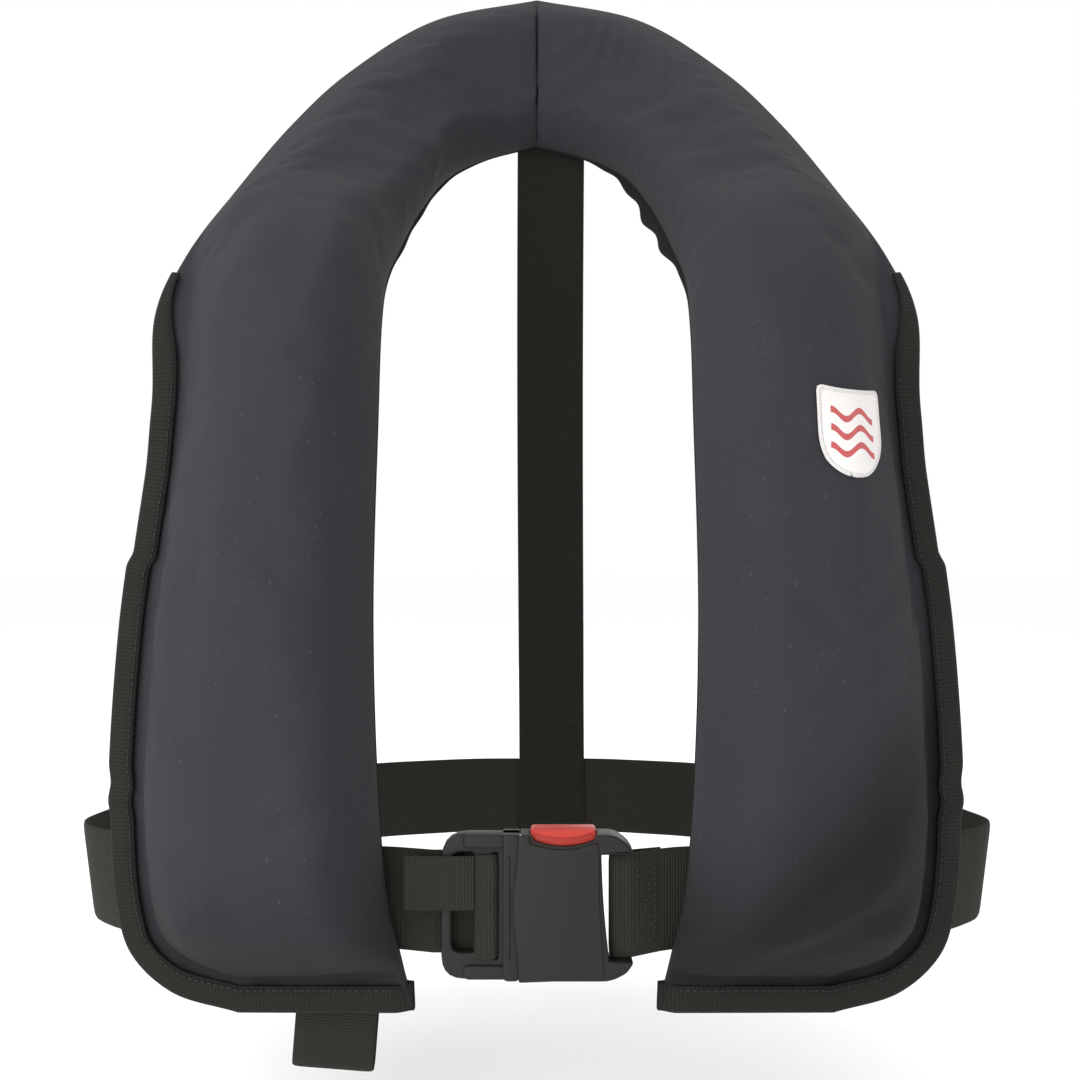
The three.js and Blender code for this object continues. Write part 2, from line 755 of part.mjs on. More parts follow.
// The male half: a frame with two slots, a solid shoulder and the tongue.
function male() {
  const corner = 9;
  const shape = polygon([[-9 - GAP, -halfHigh], [-9 - GAP, halfHigh]]);
  shape.lineTo(-47.2 + corner, halfHigh);
  shape.quadraticCurveTo(-47.2, halfHigh, -47.2, halfHigh - corner);
  shape.lineTo(-47.2, -halfHigh + corner);
  shape.quadraticCurveTo(-47.2, -halfHigh, -47.2 + corner, -halfHigh);
  const frame = slab(shape, -frameThickness - GAP, -GAP);
  const slots = [[-42.5, middleBar[0] - 1.7], [middleBar[1] - 1.7, -17.5]].map(([x0, x1]) =>
    box(x0, x1, -20, 10, -webHalf - 1, webHalf + 1),
  );
  const shoulderBlock = box(-17.5, -9 - GAP, -buckleFront + 0.8, buckleBack - 0.5, -halfHigh, halfHigh);
  const railTop = box(-36, -12, -frameThickness - 2, -GAP, webHalf + 2, halfHigh);
  const railLow = box(-36, -12, -frameThickness - 2, -GAP, -halfHigh, -webHalf - 2);
  const middle = -(buckleFront - buckleBack) / 2;
  const tongue = box(-12, tongueTip, middle - tongueThickness / 2, middle + tongueThickness / 2,
    -tongueHalf, tongueHalf);
  const catchDepth = buttonTravel + 0.5;
  const [notchFrom, notchTo] = [catchX - 1.3, catchX + catchWidth + 1.3];
  const notch = box(notchFrom, notchTo, -20, 10, tongueHalf - catchDepth, tongueHalf + 2);
  return cut(join(frame, shoulderBlock, railTop, railLow, tongue), notch, ...slots);
}
place("buckle_male", male(), "plastic", buckle);

// The female half: front and back shells round the tongue's cavity, with the bar for the sewn end.
const midY = -(buckleFront - buckleBack) / 2;
const barX = [barLeft - 1.7, barLeft + barWidth - 1.7];
const buttonX = [-4.5, -4.5 + buttonWidth];
const buttonLow = 20;
const buttonY = [-9, -1];
const catchY = [-8, -2];

function female() {
  const shape = new THREE.Shape();
  shape.moveTo(-9, -halfHigh);
  shape.lineTo(34, -halfHigh);
  shape.quadraticCurveTo(43, -halfHigh, 44.8, -webHalf - 1.2);
  shape.lineTo(44.8, -webHalf);
  shape.lineTo(barX[1], -webHalf);
  shape.lineTo(barX[1], webHalf);
  shape.lineTo(44.8, webHalf);
  shape.lineTo(44.8, webHalf + 1.2);
  shape.quadraticCurveTo(43, halfHigh, 34, halfHigh);
  shape.lineTo(-9, halfHigh);
  hole(shape, barX[0] - 4.7, barX[0], -webHalf, webHalf);
  const block = slab(shape, -buckleFront, buckleBack);
  const cavity = box(-12, tongueTip + 1, midY - tongueThickness / 2 - GAP,
    midY + tongueThickness / 2 + GAP, -tongueHalf - GAP, tongueHalf + GAP);
  const pocket = box(buttonX[0] - GAP, buttonX[1] + GAP, buttonY[0] - GAP, buttonY[1] + GAP,
    buttonLow - buttonTravel - GAP, halfHigh + 5);
  const [wayFrom, wayTo] = [catchX - GAP, catchX + catchWidth + GAP];
  const catchWay = box(wayFrom, wayTo, catchY[0] - GAP, catchY[1] + GAP, 10, buttonLow);
  const springWell = box(buttonX[1] - 7, buttonX[1] - 1, -8, -2, buttonLow - 12, buttonLow);
  const windowShape = new THREE.Shape();
  windowShape.moveTo(buttonX[0] + 1, halfHigh + 2);
  windowShape.lineTo(buttonX[0] + 3, halfHigh - 5);
  windowShape.quadraticCurveTo(-4.5 + buttonWidth / 2, halfHigh - 10, buttonX[1] - 3, halfHigh - 5);
  windowShape.lineTo(buttonX[1] - 1, halfHigh + 2);
  const windowCut = slab(windowShape, -20, buttonY[0] + 1);
  const frontOfBar = box(barX[0] - 0.1, 60, -20, barY - 2, -webHalf, webHalf);
  const backOfBar = box(barX[0] - 0.1, 60, barY + 2, 20, -webHalf, webHalf);
  return cut(block, cavity, pocket, catchWay, springWell, windowCut, frontOfBar, backOfBar);
}

const shell = female();
const splitY = barY - 2 - GAP; // the bar belongs to the back shell
place("buckle_female_front", cut(shell, box(-60, 60, splitY, 30, -60, 60)), "plastic", buckle);
place("buckle_female_back", cut(shell, box(-60, 60, -30, splitY + GAP, -60, 60)), "plastic", buckle);

function button() {
  const crown = 3;
  const body = box(buttonX[0], buttonX[1], buttonY[0], buttonY[1], buttonLow, halfHigh + crown);
  const seat = box(buttonX[1] - 6.5, buttonX[1] - 1.5, -7.5, -2.5, buttonLow - 1, buttonLow + 2);
  return cut(body, seat);
}
place("buckle_button", button(), "red", buckle);
const catchBlock = box(
  catchX, catchX + catchWidth, catchY[0], catchY[1], tongueHalf + GAP, buttonLow - GAP);
place("button_catch", catchBlock, "red", buckle);

const spring = coil(1.7, 0.3, buttonLow - 11.2, buttonLow + 1.5, 5);
place("button_spring", spring.translate(buttonX[1] - 4, -5, 0), "steel", buckle);

// ---------------------------------------------------------------- inflator, in the right lobe

// A place for a module: a share across the lobe, at a height over the hem.
function moduleAt(share, rise) {
  const frame = frameAt(vOfHeight(rise - frontLength, share));
  const at = pointOn(frame, share * frame.width, 0);
  const group = new THREE.Group();
  group.position.copy(at);
  group.rotation.z = Math.atan2(frame.across.y, frame.across.x);
  jacket.add(group);
  return group;
}

// Module axes: x across, y back (the front is -y), z up, from the edge plane.
const inflator = moduleAt(inflatorShare, inflatorRise);
const top = bladderSeat + bladderFold - 1 + 2 * GAP; // clear of the folded bladder
const flangeThickness = 2;
const stemCollar = 3;
const gasketThickness = 1.2;
const bodyRear = -(top + flangeThickness + stemCollar + gasketThickness + 2 * GAP);
const bodyDepth = 20;
const bodyFront = bodyRear - bodyDepth;
const bodyHalf = 20;
const bodyTall = 25;
const stemX = 8;
const leverPivot = [-7.5, -18];
const leverY = (bodyRear + bodyFront) / 2;
const leverHalf = 2.5;
const neckDepth = 8;
const pinRadius = 2;
const springRadius = 3.4;
const pinBoreTop = bodyTall - neckDepth - 2;

function inflatorBody() {
  const block = box(-bodyHalf, bodyHalf, bodyFront, bodyRear, -bodyTall, bodyTall);
  const leverSlot = box(-bodyHalf - 1, 5, leverY - leverHalf - GAP, leverY + leverHalf + GAP,
    -bodyTall - 1, -bodyTall + 15);
  const armSlot = box(-bodyHalf - 1, -bodyHalf + 8, leverY - leverHalf - GAP, leverY + leverHalf + GAP,
    -bodyTall - 1, bodyTall + 1);
  const pinBore = rod("z", springRadius + 1, -bodyTall + 8, pinBoreTop, 0, leverY);
  const neckBore = rod("z", stemRadius + GAP, pinBoreTop - 1, bodyTall + 1, 0, leverY);
  const stemBore = rod("y", stemRadius + GAP, bodyFront - 1, bodyRear + 1, stemX, 0, 0);
  const pinHole = rod("y", 1.5 + GAP / 2, bodyFront + 2, bodyRear - 2, leverPivot[0], 0, leverPivot[1]);
  return cut(block, leverSlot, armSlot, pinBore, neckBore, stemBore, pinHole);
}
place("inflator_body", inflatorBody(), "plastic", inflator);

function lever() {
  const [px, pz] = leverPivot;
  const hub = rod("y", 5.5, leverY - leverHalf, leverY + leverHalf, px, 0, pz, 20);
  const foot = box(-bodyHalf + 1, px, leverY - leverHalf, leverY + leverHalf, pz - 5, pz + 1);
  const arm = box(-bodyHalf + 1, -bodyHalf + 6, leverY - leverHalf, leverY + leverHalf, pz - 5, bodyTall - 2);
  const bore = rod("y", 1.5 + GAP / 2, leverY - 5, leverY + 5, px, 0, pz);
  return cut(join(hub, foot, arm), bore);
}
place("inflator_lever", lever(), "red", inflator);
place(
  "lever_pin",
  rod("y", 1.5, bodyFront + 2 + GAP, bodyRear - 2 - GAP, leverPivot[0], 0, leverPivot[1], 12),
  "steel",
  inflator,
);

const pinFoot = leverPivot[1] + 5.5 + GAP;
const pinTop = pinBoreTop - 1;
place(
  "firing_pin",
  turned([[0, pinFoot], [3.6, pinFoot], [3.6, pinFoot + 2], [pinRadius, pinFoot + 2],
    [pinRadius, pinTop - firingTravel - 3], [0, pinTop - firingTravel]], 12).translate(0, leverY, 0),
  "steel",
  inflator,
);
place(
  "pin_spring",
  coil(springRadius - 0.3, 0.4, pinFoot + 3, pinTop - 8, 5).translate(0, leverY, 0),
  "steel",
  inflator,
);

// The cylinder stands on its neck, which screws into the top of the body.
function cylinder() {
  const low = bodyTall - neckDepth;
  const r = cylinderRadius;
  const high = low + cylinderLength;
  const profile = [[0, low], [stemRadius, low], [stemRadius, bodyTall + 3], [8, bodyTall + 6],
    [r - 1, bodyTall + 16], [r, bodyTall + 20], [r, high - 10], [r - 2, high - 4], [r - 8, high], [0, high]];
  return turned(profile, 24);
}
place("co2_cylinder", cylinder().translate(0, leverY, 0), "steel", inflator);

// The water-sensing cartridge hangs from the bottom of the body, inside its screw cap.
const cartridgeX = 9;
const cartridgeR = 9;
place(
  "water_cartridge",
  turned([[0, -bodyTall - 14], [cartridgeR - 1, -bodyTall - 14], [cartridgeR, -bodyTall - 13],
    [cartridgeR, -bodyTall - GAP], [0, -bodyTall - GAP]], 16).translate(cartridgeX, leverY, 0),
  "badge",
  inflator,
);
place(
  "cartridge_cap",
  turned([[0, -bodyTall - 17], [cartridgeR + 2, -bodyTall - 17], [cartridgeR + 2, -bodyTall - 1],
    [cartridgeR + GAP, -bodyTall - 1], [cartridgeR + GAP, -bodyTall - 14 - GAP],
    [0, -bodyTall - 14 - GAP]], 16).translate(cartridgeX, leverY, 0),
  "plastic",
  inflator,
);

// The bladder's metal stem passes through the body, with a gasket each side and a cap nut in front.
function ring(inner, outer, from, to) {
  return turned([[inner, from], [outer, from], [outer, to], [inner, to], [inner, from]], 16);
}
const facing = (geometry) => geometry.rotateX(Math.PI / 2).translate(stemX, 0, 0);
const nutDepth = 4.5;
const nutBore = (stemRadius + GAP) / Math.cos(Math.PI / 6); // six-sided
place(
  "manifold_stem",
  facing(turned([[0, top], [13, top], [13, top + flangeThickness], [9, top + flangeThickness],
    [9, top + flangeThickness + stemCollar], [stemRadius, top + flangeThickness + stemCollar],
    [stemRadius, -bodyFront + 3.6], [0, -bodyFront + 3.6]], 16)),
  "steel",
  inflator,
);
const rearFrom = top + flangeThickness + stemCollar + GAP;
const rearGasket = ring(stemRadius + GAP, 9, rearFrom, rearFrom + gasketThickness);
place("stem_gasket_rear", facing(rearGasket), "rubber", inflator);
const frontFrom = -bodyFront + GAP;
place(
  "stem_gasket_front",
  facing(ring(stemRadius + GAP, 7.5, frontFrom, frontFrom + gasketThickness)),
  "rubber",
  inflator,
);
const nutFrom = frontFrom + gasketThickness + GAP;
place(
  "cap_nut",
  facing(turned([[nutBore, nutFrom], [8, nutFrom], [8, nutFrom + nutDepth - 1],
    [7, nutFrom + nutDepth], [0, nutFrom + nutDepth], [0, nutFrom + nutDepth - 1.8],
    [nutBore, nutFrom + nutDepth - 1.8], [nutBore, nutFrom]], 6)),
  "steel",
  inflator,
);

// ---------------------------------------------------------------- oral inflation, in the left lobe

const oral = moduleAt(oralShare, oralRise);
oral.position.x *= -1;
oral.rotation.z *= -1;
const tubeY = -(top + 14);

place(
  "oral_flange",
  turned([[0, top], [15, top], [15, top + 2], [oralBore - 0.8, top + 3], [oralBore - 0.8, top + 5.5],
    [0, top + 5.5]], 18).rotateX(Math.PI / 2),
  "rubber",
  oral,
);

function oralTube() {
  const section = new THREE.Shape();
  section.absarc(0, 0, oralRadius, 0, 2 * Math.PI);
  const bore = new THREE.Path();
  bore.absarc(0, 0, oralBore, 0, 2 * Math.PI);
  section.holes.push(bore);
  const path = new THREE.CatmullRomCurve3([
    vec(0, -top - 3 - 1.2, 0),
    vec(0, -top - 7, 0.4),
    vec(0, tubeY - 1, 8),
    vec(0, tubeY - 1, 20),
    vec(0, tubeY, 45),
    vec(0, tubeY, 80),
    vec(0, tubeY, oralLength),
  ]);
  return new THREE.ExtrudeGeometry(section, {
    steps: 22, curveSegments: 6, bevelEnabled: false, extrudePath: path,
  });
}
place("oral_tube", oralTube(), "rubber", oral);

const mouthLow = oralLength + GAP;
place(
  "mouthpiece",
  turned([[2, mouthLow], [8, mouthLow], [8, mouthLow + 20], [4.5, mouthLow + 20], [4.5, mouthLow + 8],
    [2, mouthLow + 8], [2, mouthLow]], 18).translate(0, tubeY, 0),
  "plastic",
  oral,
);
place(
  "valve_poppet",
  turned([[0, mouthLow + 1], [1.6, mouthLow + 1], [1.6, mouthLow + 15], [4, mouthLow + 15],
    [4, mouthLow + 17], [0, mouthLow + 17]], 14).translate(0, tubeY, 0),
  "red",
  oral,
);
place(
  "poppet_spring",
  coil(2.9, 0.35, mouthLow + 9, mouthLow + 14.2, 4).translate(0, tubeY, 0),
  "steel",
  oral,
);
const capLow = mouthLow + 10;
place(
  "mouthpiece_cap",
  turned([[8 + GAP, capLow], [10, capLow], [10, capLow + 14], [0, capLow + 14], [0, capLow + 12],
    [8 + GAP, capLow + 12], [8 + GAP, capLow]], 18).translate(0, tubeY, 0),
  "rubber",
  oral,
);

// The whistle lies in its pocket beside the tube.
const whistleX = 26;
function whistle() {
  const shape = polygon([[-9, 0], [9, 0], [9, 16], [5, 45], [-5, 45], [-9, 16]]);
  hole(shape, -4, 4, 20, 27);
  return slab(shape, -4, 4);
}
const whistleY = -top - 6.3;
place("whistle", whistle().translate(whistleX, whistleY, 24), "red", oral);
const pocketWall = 1;
place(
  "whistle_pocket",
  cut(
    box(-10.5, 10.5, -5.5, 5.5, 22, 48),
    box(-10.5 + pocketWall, 10.5 - pocketWall, -5.5 + pocketWall, 5.5 - pocketWall, 23, 60),
  ).translate(whistleX, whistleY, 0),
  "webbing",
  oral,
);

// The lifting becket is sewn to the bladder's face above the whistle.
const becketWidth = 25;
const becketRise = 0.39 * frontLength;
const becketShare = 0.235;
const becket = hungStrap(
  [vec2(0, 0), vec2(0, 58), vec2(-2, 61.5), vec2(-4, 58), vec2(-4, 16), vec2(-2.4, 8), vec2(-2.4, 1)],
  becketWidth,
  0,
  1.6,
);
const becketGroup = moduleAt(becketShare, becketRise);
becketGroup.position.x *= -1;
becketGroup.rotation.z *= -1;
place("lifting_becket", becket.translate(0, -top, 0), "webbing", becketGroup);

export default jacket;
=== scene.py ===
import json
import math

import bmesh
import bpy
import numpy as np
from bpy.props import FloatProperty, FloatVectorProperty, IntProperty, PointerProperty
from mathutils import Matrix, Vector
from mathutils.bvhtree import BVHTree
from mathutils.geometry import tessellate_polygon


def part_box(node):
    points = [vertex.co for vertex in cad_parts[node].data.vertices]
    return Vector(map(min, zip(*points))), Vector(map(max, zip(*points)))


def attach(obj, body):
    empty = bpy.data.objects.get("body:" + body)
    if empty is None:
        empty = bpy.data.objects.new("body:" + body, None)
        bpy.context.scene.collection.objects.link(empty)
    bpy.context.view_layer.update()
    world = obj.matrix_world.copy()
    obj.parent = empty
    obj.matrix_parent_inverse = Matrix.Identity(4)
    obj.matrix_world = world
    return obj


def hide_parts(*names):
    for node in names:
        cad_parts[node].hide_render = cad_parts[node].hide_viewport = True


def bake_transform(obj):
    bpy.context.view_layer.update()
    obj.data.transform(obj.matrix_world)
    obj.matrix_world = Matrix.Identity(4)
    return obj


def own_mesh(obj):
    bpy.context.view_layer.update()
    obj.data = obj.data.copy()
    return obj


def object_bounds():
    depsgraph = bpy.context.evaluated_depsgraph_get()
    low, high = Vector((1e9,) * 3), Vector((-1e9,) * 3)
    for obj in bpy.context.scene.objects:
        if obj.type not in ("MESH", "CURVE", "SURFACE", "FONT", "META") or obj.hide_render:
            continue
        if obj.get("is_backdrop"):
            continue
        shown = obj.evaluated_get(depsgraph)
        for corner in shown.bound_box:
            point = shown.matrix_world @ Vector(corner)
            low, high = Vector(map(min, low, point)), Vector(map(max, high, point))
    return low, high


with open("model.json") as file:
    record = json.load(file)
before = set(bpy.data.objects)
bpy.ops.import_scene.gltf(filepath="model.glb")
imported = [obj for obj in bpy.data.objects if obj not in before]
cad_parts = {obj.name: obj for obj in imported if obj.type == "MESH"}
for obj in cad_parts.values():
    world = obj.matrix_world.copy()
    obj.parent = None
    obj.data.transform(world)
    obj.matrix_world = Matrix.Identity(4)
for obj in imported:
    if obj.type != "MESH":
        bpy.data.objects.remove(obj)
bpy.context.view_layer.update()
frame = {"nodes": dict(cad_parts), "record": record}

bl_info = {
    "name": "Inflatable life jacket",
    "version": (1, 0, 0),
    "blender": (4, 5, 0),
    "location": "3D View > Sidebar > Life Jacket",
    "description": "Builds the covered surface of an inflatable life jacket round its CAD frame",
    "category": "Object",
}

MM = 0.001
GAP = 0.3 * MM  # between faces that touch
JOINTS = frame["record"]["behaviour"]["joints"]
TRAVEL = {joint["name"]: joint["range_m"][1] for joint in JOINTS if "range_m" in joint}

# ------------------------------------------------------------------ sizes and colours


def length(name, description, default):
    return FloatProperty(
        name=name, description=description, default=default, unit="LENGTH", subtype="DISTANCE"
    )


def colour(name, description, default):
    """A colour as it looks on screen, 0 to 255."""
    values = [c / 255 for c in default]
    return FloatVectorProperty(
        name=name, description=description, default=values, subtype="COLOR_GAMMA", size=3, min=0, max=1
    )


class JacketSizes(bpy.types.PropertyGroup):
    lobe_height: length("Lobe height", "How far the packed lobe stands over its bound edge", 46 * MM)
    collar_height: length("Collar height", "The same, behind the neck", 27 * MM)
    edge_roll: length("Edge roll", "Radius of the fold along the inner edge", 24 * MM)
    panel_wall: length("Cover thickness", "Thickness of the front panel's cloth", 1.3 * MM)
    lining_wall: length("Lining thickness", "Thickness of the body-side panel", 1.4 * MM)
    cloth_step: length("Cloth step", "Distance between the cloth's grid lines", 3.2 * MM)
    cloth_give: length("Cloth give", "How far the simulation may move a point of the cover", 4 * MM)
    seam_depth: length("Neck seam depth", "How deep the seam behind the neck draws the cover in", 7 * MM)
    binding_width: length("Binding width", "Width of the tape folded over the edge, on each face", 12.5 * MM)
    webbing_thickness: length("Webbing thickness", "Thickness of the belt and the straps", 1.8 * MM)
    belt_width: length("Belt width", "Width of the waist belt", 50 * MM)
    rib_pitch: length("Rib pitch", "Distance between the cross ribs of the webbing", 1.5 * MM)
    weave_pitch: length("Weave pitch", "Distance between the yarns of the cover", 0.85 * MM)
    stitch_pitch: length("Stitch pitch", "From one stitch to the next", 3.4 * MM)
    swell: FloatProperty(
        name="Swell", description="Air pressure that fills the cover's cloth", default=1.0, min=0
    )
    slack: FloatProperty(
        name="Slack", description="Spare cloth, as a share of its length", default=0.009, min=0
    )
    seed: IntProperty(name="Seed", description="Start of the random draws", default=7)


class JacketColours(bpy.types.PropertyGroup):
    cover: colour("Cover", "Matt polyester of the cover", (54, 54, 58))
    lining: colour("Lining", "Body-side panel", (36, 36, 36))
    binding: colour("Binding", "Tape folded over the edge", (37, 35, 32))
    webbing: colour("Webbing", "Waist belt, guides and loop", (45, 43, 38))
    strap: colour("Back strap", "Close-woven back strap", (34, 35, 30))
    buckle: colour("Buckle", "Moulded buckle", (30, 27, 24))
    button: colour("Button", "Release button", (176, 54, 44))
    badge: colour("Badge", "Ground of the woven patch", (236, 232, 230))
    motif: colour("Motif", "Waves on the patch", (186, 40, 44))
    stitch: colour("Stitching", "Sewing thread", (30, 29, 28))
    bladder: colour("Bladder", "Coated nylon of the bladder", (217, 194, 30))
    steel: colour("Steel", "Cylinder, nut and pins", (186, 188, 190))
    rubber: colour("Rubber", "Oral tube and gaskets", (28, 28, 29))
    housing: colour("Inflator", "Moulded inflator", (32, 32, 33))
    floor: colour("Floor", "Studio floor", (254, 254, 254))


def sizes():
    return bpy.context.scene.jacket_sizes


def colours():
    return bpy.context.scene.jacket_colours


def linear(srgb, gain=1.0):
    """A screen colour as the four linear numbers that a shader takes."""
    low = [c / 12.92 if c <= 0.04045 else ((c + 0.055) / 1.055) ** 2.4 for c in srgb]
    return tuple(min(c * gain, 1.0) for c in low) + (1.0,)


# ------------------------------------------------------------------ shader maths


class Value:
    """A shader socket that takes part in sums: each operator adds its Math node."""

    def __init__(self, shader, socket):
        self.shader, self.socket = shader, socket

    def _math(self, operation, *others):
        return self.shader.node("ShaderNodeMath", {"operation": operation}, dict(enumerate(others)))

    def __add__(self, other):
        return self._math("ADD", self, other)

    __radd__ = __add__

    def __mul__(self, other):
        return self._math("MULTIPLY", self, other)

    __rmul__ = __mul__

    def __sub__(self, other):
        return self._math("SUBTRACT", self, other)

    def __rsub__(self, other):
        return self._math("SUBTRACT", other, self)

    def __truediv__(self, other):
        return self._math("DIVIDE", self, other)

    def __pow__(self, other):
        return self._math("POWER", self, other)

    def __abs__(self):
        return self._math("ABSOLUTE", self)

    def sin(self):
        return self._math("SINE", self)

    def above(self, other):
        return self._math("GREATER_THAN", self, other)

    def most(self, other):
        return self._math("MAXIMUM", self, other)


class Shader:
    """A material's tree, and the one way that nodes are added to it."""

    def __init__(self, name):
        self.material = bpy.data.materials.new(name)
        self.material.use_nodes = True
        self.tree = self.material.node_tree
        self.tree.nodes.clear()
        self.output = self.tree.nodes.new("ShaderNodeOutputMaterial")

    def node(self, kind, settings=None, inputs=None, out=0):
        made = self.tree.nodes.new(kind)
        for name, value in (settings or {}).items():
            if name == "stops":
                ramp = made.color_ramp
                while len(ramp.elements) < len(value):
                    ramp.elements.new(0.5)
                for element, (place, shade) in zip(ramp.elements, value):
                    element.position, element.color = place, shade
            else:
                setattr(made, name, value)
        for name, value in (inputs or {}).items():
            if isinstance(value, Value):
                self.tree.links.new(value.socket, made.inputs[name])
            else:
                made.inputs[name].default_value = value
        return Value(self, made.outputs[out])

    def noise(self, scale, detail=3.0, roughness=0.55, vector=None, distortion=0.0):
        inputs = {"Scale": scale, "Detail": detail, "Roughness": roughness, "Distortion": distortion}
        inputs["Vector"] = vector or self.place()
        return self.node("ShaderNodeTexNoise", {}, inputs)

    def place(self):
        return self.node("ShaderNodeTexCoord", {}, {}, "Object")

    def place_axis(self, name):
        return self.node("ShaderNodeSeparateXYZ", {}, {0: self.place()}, name)

    def ramp(self, value):
        """An eased step from 0 to 1."""
        settings = {"interpolation_type": "SMOOTHSTEP"}
        return self.node("ShaderNodeMapRange", settings, {"Value": value})

    def uv(self):
        """(along, across) in metres on the piece's own cloth."""
        split = self.node("ShaderNodeSeparateXYZ", {}, {0: self.node("ShaderNodeTexCoord", {}, {}, "UV")})
        return split, Value(self, split.socket.node.outputs[1])

    def blend(self, factor, first, second, kind="MIX"):
        """Between two colours by a factor from 0 to 1."""
        settings = {"data_type": "RGBA", "blend_type": kind, "clamp_factor": True}
        made = self.node("ShaderNodeMix", settings, {0: factor, 6: first, 7: second}, 2)
        return made

    def bump(self, height, depth, strength=1.0, under=None):
        inputs = {"Height": height, "Distance": depth, "Strength": strength}
        if under:
            inputs["Normal"] = under
        return self.node("ShaderNodeBump", {}, inputs, "Normal")

    def finish(self, **inputs):
        """The surface itself. Names stand for the sockets of the Principled shader."""
        named = {key.replace("_", " ").title().replace("Ior", "IOR"): value for key, value in inputs.items()}
        surface = self.node("ShaderNodeBsdfPrincipled", {}, named, "BSDF")
        self.tree.links.new(surface.socket, self.output.inputs["Surface"])
        return self.material


MATERIALS = {}


def finish_of(key):
    """One of the jacket's finishes, made once."""
    if key not in MATERIALS:
        MATERIALS[key] = FINISHES[key]()
    return MATERIALS[key]


def yarns(along, across, pitch):
    """The height of a plain weave, 0 to 1: over and under yarns of one pitch."""
    turn = math.pi / pitch
    warp, weft = (along * turn).sin(), (across * turn).sin()
    crossing = warp * weft
    return (abs(warp) * crossing.above(0.0) + abs(weft) * (1 - crossing.above(0.0))) * 0.8


def cover_cloth():
    """Matt woven polyester: fine weave, faint slubs, soft mottling and lint, with painted shade towards the
    hem.
    """
    shader = Shader("cover_cloth")
    along, across = shader.uv()
    weave = yarns(along, across, sizes().weave_pitch)
    cloud = shader.noise(9.0, 3.0, 0.6)
    fine = shader.noise(900.0, 2.0, 0.7)
    slub_place = shader.node("ShaderNodeCombineXYZ", {}, {0: along * 60.0, 1: across * 1400.0})
    slub = shader.noise(1.0, 2.0, 0.6, slub_place)
    base = colours().cover
    tone = shader.blend(cloud, linear(base, 0.86), linear(base, 1.12))
    tone = shader.blend(weave * 0.22 + slub * 0.16, tone, linear(base, 0.55))
    lint = shader.noise(420.0, 1.0, 0.5).above(0.74)
    tone = shader.blend(lint * 0.35, tone, linear(base, 2.1))
    # Painted shade: the cloth is painted darker towards the hem, where it curves under, and most of all at
    # the right lobe's outer corner along its diagonal crease.
    x, z = shader.place_axis("X"), shader.place_axis("Z")
    hem = shader.ramp((-0.39 - z) / 0.1)
    corner = shader.ramp((x * 0.75 - z - 0.475 + cloud * 0.05) / 0.07)
    tone = shader.blend((hem * 0.6).most(corner * 0.85), tone, linear([c * 0.55 for c in base]))
    normal = shader.bump(fine * 0.35 + weave * 0.65 + slub * 0.4, 0.22 * MM, 0.55)
    normal = shader.bump(shader.noise(70.0, 3.0, 0.6), 0.7 * MM, 0.35, normal)
    return shader.finish(
        base_color=tone,
        roughness=cloud * 0.08 + 0.84,
        specular_ior_level=0.08,
        sheen_weight=0.02,
        sheen_roughness=0.5,
        normal=normal,
    )


def lining_cloth():
    """The smoother, darker cloth that lies against the wearer."""
    shader = Shader("lining_cloth")
    along, across = shader.uv()
    weave = yarns(along, across, 1.1 * MM)
    base = colours().lining
    tone = shader.blend(shader.noise(14.0), linear(base, 0.8), linear(base, 1.2))
    tone = shader.blend(weave * 0.3, tone, linear(base, 0.5))
    normal = shader.bump(weave * 0.7 + shader.noise(600.0) * 0.4, 0.2 * MM, 0.5)
    return shader.finish(base_color=tone, roughness=0.85, specular_ior_level=0.1, normal=normal)


def ribbed(name, base, pitch, groove=0.5, deep=0.45, selvedge=None, roughness=0.74):
    """Webbing or tape: cross ribs of a pitch, split by fine lengthwise yarns, with a tighter edge."""
    shader = Shader(name)
    along, across = shader.uv()
    wander = shader.noise(240.0, 2.0, 0.5) * 0.35
    rib = abs((along * (math.pi / pitch) + wander).sin()) ** 0.7
    cord = abs((across * (math.pi / (pitch * 0.62))).sin())
    height = rib * (1 - groove * 0.3) + cord * 0.3
    if selvedge:
        edge = abs(across).above(selvedge)
        height = height * (1 - edge * 0.5) + cord * edge * 0.5
    cloud = shader.noise(26.0, 3.0, 0.6)
    fuzz = shader.noise(1500.0, 2.0, 0.7)
    tone = shader.blend(cloud, linear(base, 0.78), linear(base, 1.2))
    # Painted shade: the grooves between the ribs are painted darker.
    tone = shader.blend((1 - rib) * groove, tone, linear(base, 0.35))
    tone = shader.blend(fuzz.above(0.66) * 0.25, tone, linear(base, 2.0))
    normal = shader.bump(height + fuzz * 0.25, deep * MM, 0.75)
    return shader.finish(
        base_color=tone,
        roughness=cloud * 0.1 + roughness,
        specular_ior_level=0.15,
        sheen_weight=0.02,
        normal=normal,
    )


def binding_tape():
    return ribbed("binding_tape", colours().binding, 1.9 * MM, groove=0.55, deep=0.5)


def belt_webbing():
    s = sizes()
    selvedge = s.belt_width / 2 - 2 * MM
    return ribbed("belt_webbing", colours().webbing, s.rib_pitch, deep=0.5, selvedge=selvedge)


def strap_webbing():
    pitch, selvedge = 1.05 * MM, 20.5 * MM
    return ribbed("back_strap_webbing", colours().strap, pitch, groove=0.35, deep=0.3, selvedge=selvedge)


def sewing_thread():
    shader = Shader("sewing_thread")
    base = colours().stitch
    twist = abs((shader.place_axis("Z") * 5200.0).sin())
    # Painted highlight and shade: the thread is painted lighter on the ridges of its twist and darker in
    # between.
    tone = shader.blend(twist, linear(base, 0.7), linear(base, 1.6))
    return shader.finish(base_color=tone, roughness=0.6, normal=shader.bump(twist, 0.1 * MM, 0.6))


